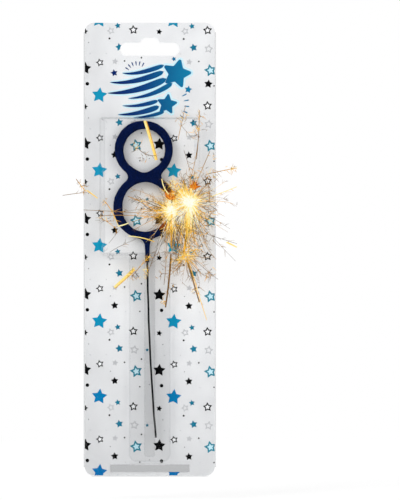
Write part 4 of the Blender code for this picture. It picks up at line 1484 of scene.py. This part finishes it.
# Single flying sparks: start, bend and end as X and Z in mm, radius in mm, and the heat at the
# start and at the end
STREAKS = (
    (-2.7, -40.2, 0.6, -50.0, 3.6, -62.0, 0.95, 0.74, 0.66),
    (-8.6, -122.0, -14.2, -127.6, -19.6, -132.2, 1.05, 0.66, 0.74),
    (-17.4, -98.6, -14.4, -98.2, -11.4, -96.8, 0.42, 0.80, 0.84),
    (-11.6, -104.0, -3.0, -104.6, 2.8, -107.2, 0.34, 0.84, 0.56),
    (6.8, -72.4, 7.6, -79.6, 13.6, -83.0, 0.34, 0.80, 0.84),
    (12.4, -92.0, 12.0, -102.0, 12.2, -110.6, 0.70, 0.56, 0.32),
    (21.9, -88.6, 20.9, -101.0, 18.9, -113.4, 0.85, 0.72, 0.42),
    (14.6, -94.6, 16.0, -102.0, 15.4, -111.0, 0.20, 0.30, 0.14),
    (17.6, -91.0, 18.6, -100.0, 16.6, -108.0, 0.22, 0.90, 0.40),
    (11.8, -114.0, 11.2, -128.0, 8.8, -143.4, 0.62, 0.18, 0.13),
    (12.2, -116.0, 11.0, -130.0, 9.2, -141.0, 0.26, 0.42, 0.30),
    (20.6, -117.0, 23.8, -128.0, 27.6, -140.6, 0.52, 0.22, 0.18),
    (22.4, -120.0, 26.4, -134.0, 31.6, -150.4, 0.26, 0.50, 0.62),
    (28.8, -84.2, 39.0, -80.6, 48.3, -76.8, 0.24, 0.78, 0.76),
    (42.6, -107.4, 45.6, -108.8, 48.3, -110.2, 0.50, 0.70, 0.74),
    (27.0, -101.2, 37.0, -104.8, 48.3, -108.2, 0.13, 0.10, 0.05),
    (29.4, -98.0, 38.0, -108.4, 47.6, -117.8, 0.10, 0.10, 0.05),
    (24.0, -116.0, 31.0, -123.0, 38.0, -128.0, 0.14, 0.12, 0.05),
    (-48.0, -81.6, -41.0, -80.4, -34.4, -79.9, 0.18, 0.16, 0.26),
    (-34.6, -78.8, -31.6, -80.8, -28.6, -83.2, 0.42, 0.58, 0.64),
    (-36.4, -89.6, -16.0, -90.4, 6.4, -92.2, 0.17, 0.16, 0.34),
    (-27.6, -93.0, -15.0, -91.6, 5.6, -94.0, 0.20, 0.20, 0.46),
    (-12.0, -82.0, -3.0, -85.0, 6.6, -92.6, 0.24, 0.30, 0.56),
    (-9.6, -96.4, -2.0, -93.0, 7.0, -92.8, 0.18, 0.30, 0.50),
    (-25.2, -84.2, -20.0, -90.0, -17.2, -98.6, 0.24, 0.30, 0.66),
    (-27.8, -94.0, -24.0, -95.0, -18.8, -99.6, 0.20, 0.24, 0.42),
    (-22.0, -113.0, -16.0, -109.0, -7.6, -105.8, 0.13, 0.04, 0.06),
    (-22.4, -108.0, -19.4, -104.0, -16.4, -100.6, 0.12, 0.04, 0.10),
    (-9.6, -126.4, -4.6, -120.0, 0.2, -115.2, 0.22, 0.10, 0.52),
    (-1.8, -128.0, 0.0, -121.0, 4.6, -110.6, 0.16, 0.20, 0.10),
    (8.0, -131.0, 9.4, -121.0, 9.2, -112.0, 0.18, 0.16, 0.30),
    (-6.4, -55.4, -2.0, -60.4, 3.8, -59.6, 0.22, 0.10, 0.18),
    (26.0, -61.6, 27.4, -48.0, 27.8, -34.6, 0.24, 0.14, 0.30),
    (15.8, -50.8, 17.6, -42.0, 20.0, -31.8, 0.20, 0.34, 0.24),
    (17.0, -42.4, 21.0, -47.0, 23.6, -50.0, 0.11, 0.10, 0.06),
    (26.8, -52.0, 25.8, -62.0, 22.6, -72.8, 0.20, 0.16, 0.40),
    (19.0, -56.6, 21.0, -62.0, 22.8, -70.0, 0.15, 0.08, 0.22),
    (33.4, -57.0, 30.0, -65.0, 25.6, -75.0, 0.22, 0.20, 0.34),
    (31.0, -70.0, 38.0, -68.2, 48.2, -66.4, 0.24, 0.24, 0.42),
    (30.6, -70.6, 34.0, -78.0, 33.0, -85.6, 0.20, 0.14, 0.24),
    (-40.4, -72.6, -38.4, -75.4, -35.0, -79.6, 0.26, 0.22, 0.50),
    (-1.8, -40.5, 1.5, -50.3, 4.4, -62.0, 0.32, 0.46, 0.40),
    (-8.1, -122.8, -13.7, -128.4, -19.0, -132.9, 0.32, 0.46, 0.40),
)

# Their depths in mm, how much these change along one, the nearest to the cover that one comes,
# and under what radius in mm one carries twigs, how many and how much hotter
STREAK_DEPTHS = (-13.6, -10.2)
STREAK_WAVER = 0.4
STREAK_NEAREST = -10.0
THIN_STREAK = 0.3
STREAK_TWIGS = 5
STREAK_TWIG_HEAT = 0.1

# Tufts of twigs: the middle as X and Z in mm, the reach in mm, the heat and the count
TUFTS = (
    (-7.2, -54.6, 5.0, 0.46, 16),
    (-3.0, -61.0, 3.6, 0.06, 10),
    (-9.4, -125.0, 5.4, 0.36, 18),
    (-1.6, -123.6, 3.4, 0.66, 22),
    (-1.0, -117.0, 3.6, 0.50, 12),
    (-26.0, -93.2, 4.4, 0.34, 14),
    (-24.6, -85.6, 3.2, 0.46, 10),
    (-37.4, -76.6, 3.8, 0.36, 12),
    (26.6, -45.0, 4.6, 0.40, 18),
    (27.6, -36.6, 3.6, 0.32, 10),
    (18.2, -39.6, 4.6, 0.40, 12),
    (24.0, -70.0, 5.4, 0.34, 16),
    (33.6, -70.4, 5.6, 0.30, 24),
    (46.0, -66.6, 3.0, 0.52, 18),
    (35.4, -60.0, 2.6, 0.30, 6),
    (8.4, -140.0, 3.2, 0.50, 12),
    (25.4, -134.0, 4.2, 0.46, 12),
    (33.6, -125.4, 4.6, 0.42, 16),
    (6.4, -125.0, 3.6, 0.18, 8),
    (12.6, -131.0, 3.4, 0.16, 8),
    (-4.6, -84.6, 5.6, 0.16, 18),
    (32.6, -92.0, 6.8, 0.44, 22),
    (30.0, -101.0, 8.0, 0.26, 26),
    (27.0, -110.4, 6.8, 0.42, 24),
    (14.8, -75.4, 6.0, 0.62, 30),
    (9.0, -80.6, 4.6, 0.44, 12),
    (20.2, -115.0, 6.6, 0.56, 60),
    (15.8, -116.4, 4.4, 0.46, 26),
    (24.0, -113.4, 4.8, 0.46, 26),
    (17.0, -99.0, 5.4, 0.40, 26),
    (16.4, -107.4, 5.4, 0.30, 24),
    (24.4, -102.0, 6.0, 0.46, 24),
    (5.0, -92.0, 5.0, 0.44, 14),
)

# Their depths in mm, how far round the middle their twigs start, also out of the pack's plane,
# the twigs' length as shares of the reach, their heat's spread, their bend and radius in mm, and
# the share of heat that their tips keep
TUFT_DEPTHS = (-13.0, -9.8)
TUFT_SCATTER = 0.32
TUFT_FLATNESS = (1, 0.4, 1)
TUFT_LENGTH = (0.25, 0.75)
TUFT_HEAT_SPREAD = 0.22
TUFT_BEND = 0.5
TUFT_RADIUS = (0.10, 0.22)
TUFT_TIP_HEAT = 0.7


def spark_bundle(starts, bends, ends, radii, first_heat, last_heat, taper=SPARK_TAPER):
    """Thin closed tapering bars, all at once: points, walls, end faces and heat.

    Each is a ring of points carried from its start to its end along the curve that is pulled
    towards its bend, thinner by its shares at the two ends. The heat changes evenly.
    """
    share = np.linspace(0, 1, SPARK_PLACES)
    line = along_curve(share[:, None], starts[:, None], bends[:, None], ends[:, None])
    line[..., 0] = np.clip(line[..., 0], SPARK_LEFT, SPARK_RIGHT)
    line[..., 1] = np.clip(line[..., 1], SPARK_FRONT, SPARK_BACK)
    way = unit(np.gradient(line, axis=1))
    side = unit(np.cross(way, SPARK_SIDE_WAY))
    other = np.cross(way, side)
    turn = (np.arange(SPARK_SIDES) * 2 * np.pi / SPARK_SIDES)[:, None]
    ring = side[:, :, None] * np.cos(turn) + other[:, :, None] * np.sin(turn)
    reach = radii[:, None] * np.interp(share, (0, SPARK_THICKEST, 1), (taper[0], 1, taper[1]))
    points = line[:, :, None] + ring * reach[:, :, None, None]
    heat = first_heat[:, None] + (last_heat - first_heat)[:, None] * share
    numbers = np.arange(points.size // 3).reshape(-1, SPARK_PLACES, SPARK_SIDES)
    after = np.roll(numbers, -1, axis=2)
    walls = np.stack((numbers[:, :-1], after[:, :-1], after[:, 1:], numbers[:, 1:]), axis=-1)
    caps = np.concatenate((numbers[:, 0, ::-1], numbers[:, -1]))
    return points.reshape(-1, 3), walls, caps, np.repeat(heat.ravel(), SPARK_SIDES)


def fire_heat(points):
    """How hot the air is at a place: a fire's heat at its middle, falling off round it."""
    places, reach, hot = np.split(np.array(FIRES), (3, 4), axis=1)
    away = np.linalg.norm((points[:, None] - places * MM)[..., (0, 2)], axis=2)
    return (np.exp(-((away / (reach[:, 0] * MM)) ** 2)) * hot[:, 0]).max(axis=1)


def add_sparks(name, bundle, finish):
    """One piece of a bundle of sparks, which rides with the sparkler."""
    points, walls, caps, heat = bundle
    mesh = face_mesh(name, points, walls, caps)
    set_values(mesh, "burn", np.clip(heat, 0, 1))
    piece = place_piece(name, mesh, finish, "sparkler")
    piece.visible_shadow = False


def spark_ways(draw, count, middle, spread):
    """Random directions, flattened towards the pack's plane, about a middle angle."""
    turn = np.radians(middle + spread * draw.uniform(-1, 1, count))
    lift = draw.normal(0, SPARK_LIFT, count)
    return np.stack((np.cos(turn), lift, np.sin(turn)), axis=1)


def turned_ways(ways, angles):
    """Directions turned in the pack's plane."""
    cos, sin = np.cos(angles), np.sin(angles)
    x = ways[:, 0] * cos - ways[:, 2] * sin
    z = ways[:, 0] * sin + ways[:, 2] * cos
    return np.stack((x, ways[:, 1], z), axis=1)


def fork_bundle(draw, starts, bends, ends, heat, count):
    """Short twigs that fork forwards from the outer part of each spark."""
    which = np.repeat(np.arange(len(starts)), count)
    share = draw.uniform(FORK_START, 1.0, len(which))[:, None]
    roots = along_curve(share, starts[which], bends[which], ends[which])
    side = np.where(draw.random(len(which)) < 0.5, -1, 1)
    angles = side * np.radians(draw.uniform(*FORK_TURN, len(which)))
    ways = turned_ways(unit(ends[which] - starts[which]), angles)
    length = draw.uniform(*FORK_LENGTH, len(which))[:, None] * MM
    tips = roots + ways * length
    middles = (roots + tips) / 2 + draw.normal(0, FORK_BEND, roots.shape) * MM
    radii = draw.uniform(*FORK_RADIUS, len(which)) * MM
    extra = draw.uniform(0.0, FORK_EXTRA_HEAT, len(which))
    warm = np.clip(FORK_HEAT * heat[which] + extra, 0, 1)
    return spark_bundle(roots, middles, tips, radii, warm, warm * FORK_TIP_HEAT)


def build_fans(finish, ember_finish):
    """The fans of sparks round each fire, with the twigs that fork from them.

    A spark starts near its fire and flies by a random length, at a random angle about the
    fan's middle one, with a random bend. It is as hot as the air at its start and its end, or
    as its fan at least. The embers have their own finish.
    """
    for number, fan in enumerate(FANS, 1):
        fire, count, middle, spread, low, high, radius, hot, forks = fan
        draw = np.random.default_rng(seed=100 + number)
        ways = spark_ways(draw, count, middle, spread)
        length = (low + (high - low) * draw.random(count) ** REACH_POWER)[:, None] * MM
        roots = np.array(FIRES[fire][:3]) * MM + draw.normal(0, ROOT_SCATTER, (count, 3)) * MM
        roots += ways * draw.uniform(0, ROOT_SHARE, count)[:, None] * length
        if hot < COOL_SPARK:
            roots += ways * low * MM
        ends = roots + ways * length
        bends = (roots + ends) / 2 + draw.normal(0, BEND_SHARE, (count, 3)) * length
        radii = radius * MM * draw.uniform(*RADIUS_SPREAD, count)
        stray = draw.normal(0, HEAT_SPREAD, count)
        first = np.maximum(fire_heat(roots) * min(1, 2 * hot), hot) + stray
        least = LEAST_KEPT_HOT if hot > HOT_FAN or high < SHORT_FAN else LEAST_KEPT
        kept = hot * draw.uniform(least, MOST_KEPT, count)
        last = np.maximum(fire_heat(ends) * hot, kept) + stray
        bundle = spark_bundle(roots, bends, ends, radii, first, last)
        add_sparks(f"spark_fan_{number}", bundle, ember_finish if fire in EMBERS else finish)
        if forks:
            bundle = fork_bundle(draw, roots, bends, ends, last, forks)
            add_sparks(f"spark_twigs_{number}", bundle, finish)


def build_streaks(finish):
    """The single flying sparks: each follows its curve at a random depth that changes a little
    on the way, and the thin ones carry a few twigs."""
    draw = np.random.default_rng(seed=41)
    rows = np.array(STREAKS)
    flat = rows[:, :6].reshape(-1, 3, 2) * MM
    count = len(flat)
    depth = draw.uniform(*STREAK_DEPTHS, (count, 1, 1))
    depth = depth + draw.normal(0, STREAK_WAVER, (count, 3, 1))
    depth = np.minimum(depth, STREAK_NEAREST) * MM
    places = np.concatenate((flat[..., :1], depth, flat[..., 1:]), axis=2)
    radii, first, last = rows[:, 6:].T
    bundle = spark_bundle(*places.swapaxes(0, 1), radii * MM, first, last, STREAK_TAPER)
    add_sparks("flying_sparks", bundle, finish)
    thin = radii < THIN_STREAK
    heat = last[thin] + STREAK_TWIG_HEAT
    bundle = fork_bundle(draw, *places[thin].swapaxes(0, 1), heat, STREAK_TWIGS)
    add_sparks("flying_spark_twigs", bundle, finish)


def build_tufts(finish):
    """Tufts of twigs: short bent sparks that start near one place and point any way."""
    draw = np.random.default_rng(seed=42)
    starts, ends, heats = [], [], []
    for x, z, reach, heat, count in TUFTS:
        middle = np.array((x, draw.uniform(*TUFT_DEPTHS), z))
        ways = spark_ways(draw, count, 90, 180)
        roots = middle + draw.normal(0, TUFT_SCATTER * reach, (count, 3)) * TUFT_FLATNESS
        starts.append(roots)
        ends.append(roots + ways * draw.uniform(*TUFT_LENGTH, count)[:, None] * reach)
        heats.append(heat + draw.normal(0, TUFT_HEAT_SPREAD, count))
    starts, ends = (np.concatenate(group) * MM for group in (starts, ends))
    heat = np.concatenate(heats)
    bends = (starts + ends) / 2 + draw.normal(0, TUFT_BEND, starts.shape) * MM
    radii = draw.uniform(*TUFT_RADIUS, len(starts)) * MM
    bundle = spark_bundle(starts, bends, ends, radii, heat, heat * TUFT_TIP_HEAT)
    add_sparks("spark_tufts", bundle, finish)


def build_burst():
    """The whole burst of sparks over the lower ring."""
    finish = spark_finish("glowing_spark", SPARK_COLORS)
    build_fans(finish, spark_finish("glowing_ember", EMBER_COLORS))
    build_streaks(finish)
    build_tufts(finish)


# Studio

# Camera: its distance, its sensor, and the nearest that it sees
CAMERA_DISTANCE = 1.6
SENSOR_SIZE = 36
CLIP_START = 0.01

# The photograph's frame: a pixel's width on the card, the photograph's size and the hang slot's
# place in pixels, and from these its height and its centre
PIXEL = 0.5565 * MM
PHOTO_SIZE = (400, 500)
SLOT_PIXEL = (149.8, 49.25)
PHOTO_HEIGHT = PHOTO_SIZE[1] * PIXEL
PHOTO_CENTRE = (
    (PHOTO_SIZE[0] / 2 - SLOT_PIXEL[0]) * PIXEL,
    (SLOT_PIXEL[1] - PHOTO_SIZE[1] / 2) * PIXEL,
)

# Floor: how far it lies below the pack, its colours and their scale, roughness and corners
FLOOR_DROP = 13 * MM
FLOOR_COLORS = ((0.88, 0.88, 0.88), (0.93, 0.93, 0.93))
FLOOR_CLOUD_SCALE = 9.0
FLOOR_ROUGHNESS = 0.8
FLOOR_CORNERS = ((-0.9, -0.9), (0.9, -0.9), (0.9, 0.5), (-0.9, 0.5))

# The floor glows white as the camera sees it: from and to how far from the pack this grows, and
# its share at the pack
FLOOR_GLOW_REACH = (0.4, 0.8)
FLOOR_LEAST_GLOW = 0.7

# The even light on everything, and what mirrors see in front of the pack
WORLD_LIGHT = 0.68
ROOM_LIGHT = 0.15
ROOM_DEPTHS = (-0.5, 0.3)

# Lamps: name, place, size and power
LAMPS = (
    ("key_lamp", (-0.85, -0.75, 0.65), 0.55, 8.2),
    ("fill_lamp", (0.95, -0.55, 0.15), 0.7, 4.0),
    ("rear_lamp", (0.3, 0.9, 0.5), 0.6, 4.0),
)


def build_camera():
    """A long lens straight in front, framed as in the photograph."""
    data = bpy.data.cameras.new("camera")
    data.sensor_fit = "VERTICAL"
    data.sensor_height = SENSOR_SIZE
    data.sensor_width = SENSOR_SIZE
    data.lens = SENSOR_SIZE * CAMERA_DISTANCE / PHOTO_HEIGHT
    data.clip_start = CLIP_START
    camera = new_object("camera", data)
    camera.location = (PHOTO_CENTRE[0], -CAMERA_DISTANCE, PHOTO_CENTRE[1])
    camera.rotation_euler = (math.pi / 2, 0, 0)
    bpy.context.scene.camera = camera


def build_lamp(name, place, size, power):
    """A square soft box that faces the middle of the pack."""
    data = bpy.data.lights.new(name, "AREA")
    data.shape = "SQUARE"
    data.size = size
    data.energy = power
    lamp = new_object(name, data)
    lamp.location = place
    aim = Vector((0, 0, PHOTO_CENTRE[1])) - lamp.location
    lamp.rotation_euler = aim.to_track_quat("-Z", "Y").to_euler()


def build_world():
    """White as the camera and clear things see it, and a plain even light besides. Mirrors see
    it white behind the pack and dim in front, as in a room with a lit backdrop."""
    world = bpy.data.worlds.new("studio")
    bpy.context.scene.world = world
    world.use_nodes = True
    tree = world.node_tree
    path = tree.nodes.new("ShaderNodeLightPath").outputs
    way = tree.nodes.new("ShaderNodeTexCoord").outputs["Generated"]
    room = rescale(tree, along_axis(tree, way, "Y"), ROOM_DEPTHS, (ROOM_LIGHT, 1))
    plain = rescale(tree, path["Is Glossy Ray"], target=(WORLD_LIGHT, room))
    seen = calculate(tree, "MAXIMUM", path["Is Camera Ray"], path["Is Transmission Ray"])
    strength = rescale(tree, seen, target=(plain, 1))
    fill_inputs(tree, tree.nodes["Background"], {"Color": (1, 1, 1, 1), "Strength": strength})


def build_floor():
    """A pale floor below the hanging pack, which keeps its shadow faintly."""
    material, tree, shader, place = start_material("pale_floor")
    color = blend_colors(tree, cloudy(tree, place, FLOOR_CLOUD_SCALE), *FLOOR_COLORS)
    fill_inputs(tree, shader, {"Base Color": color, "Roughness": FLOOR_ROUGHNESS})
    glow = add_node(tree, "Emission", {"Strength": 1.0})
    seen = tree.nodes.new("ShaderNodeLightPath").outputs["Is Camera Ray"]
    away = add_node(tree, "VectorMath", {0: place}, operation="LENGTH").outputs["Value"]
    glowing = rescale(tree, away, FLOOR_GLOW_REACH, (FLOOR_LEAST_GLOW, 1))
    mix_surface(tree, calculate(tree, "MULTIPLY", seen, glowing), shader, glow)
    corners = [(x, y, PACK_BOTTOM - FLOOR_DROP) for x, y in FLOOR_CORNERS]
    mesh = bpy.data.meshes.new("floor")
    mesh.from_pydata(corners, [], [(0, 1, 2, 3)])
    mesh.materials.append(material)
    floor = new_object("floor", mesh)


def build_studio():
    """Camera, world, floor and lamps."""
    bpy.context.scene.view_settings.view_transform = "Standard"
    build_camera()
    build_world()
    build_floor()
    for lamp in LAMPS:
        build_lamp(*lamp)


def main():
    """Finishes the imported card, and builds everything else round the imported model."""
    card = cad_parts["backing_card"]
    card.data.materials.clear()
    card.data.materials.append(card_finish())
    build_print()
    build_cover(clear_finish())
    build_coating(coating_finish())
    build_wire(wire_finish())
    build_burst()
    build_studio()


main()
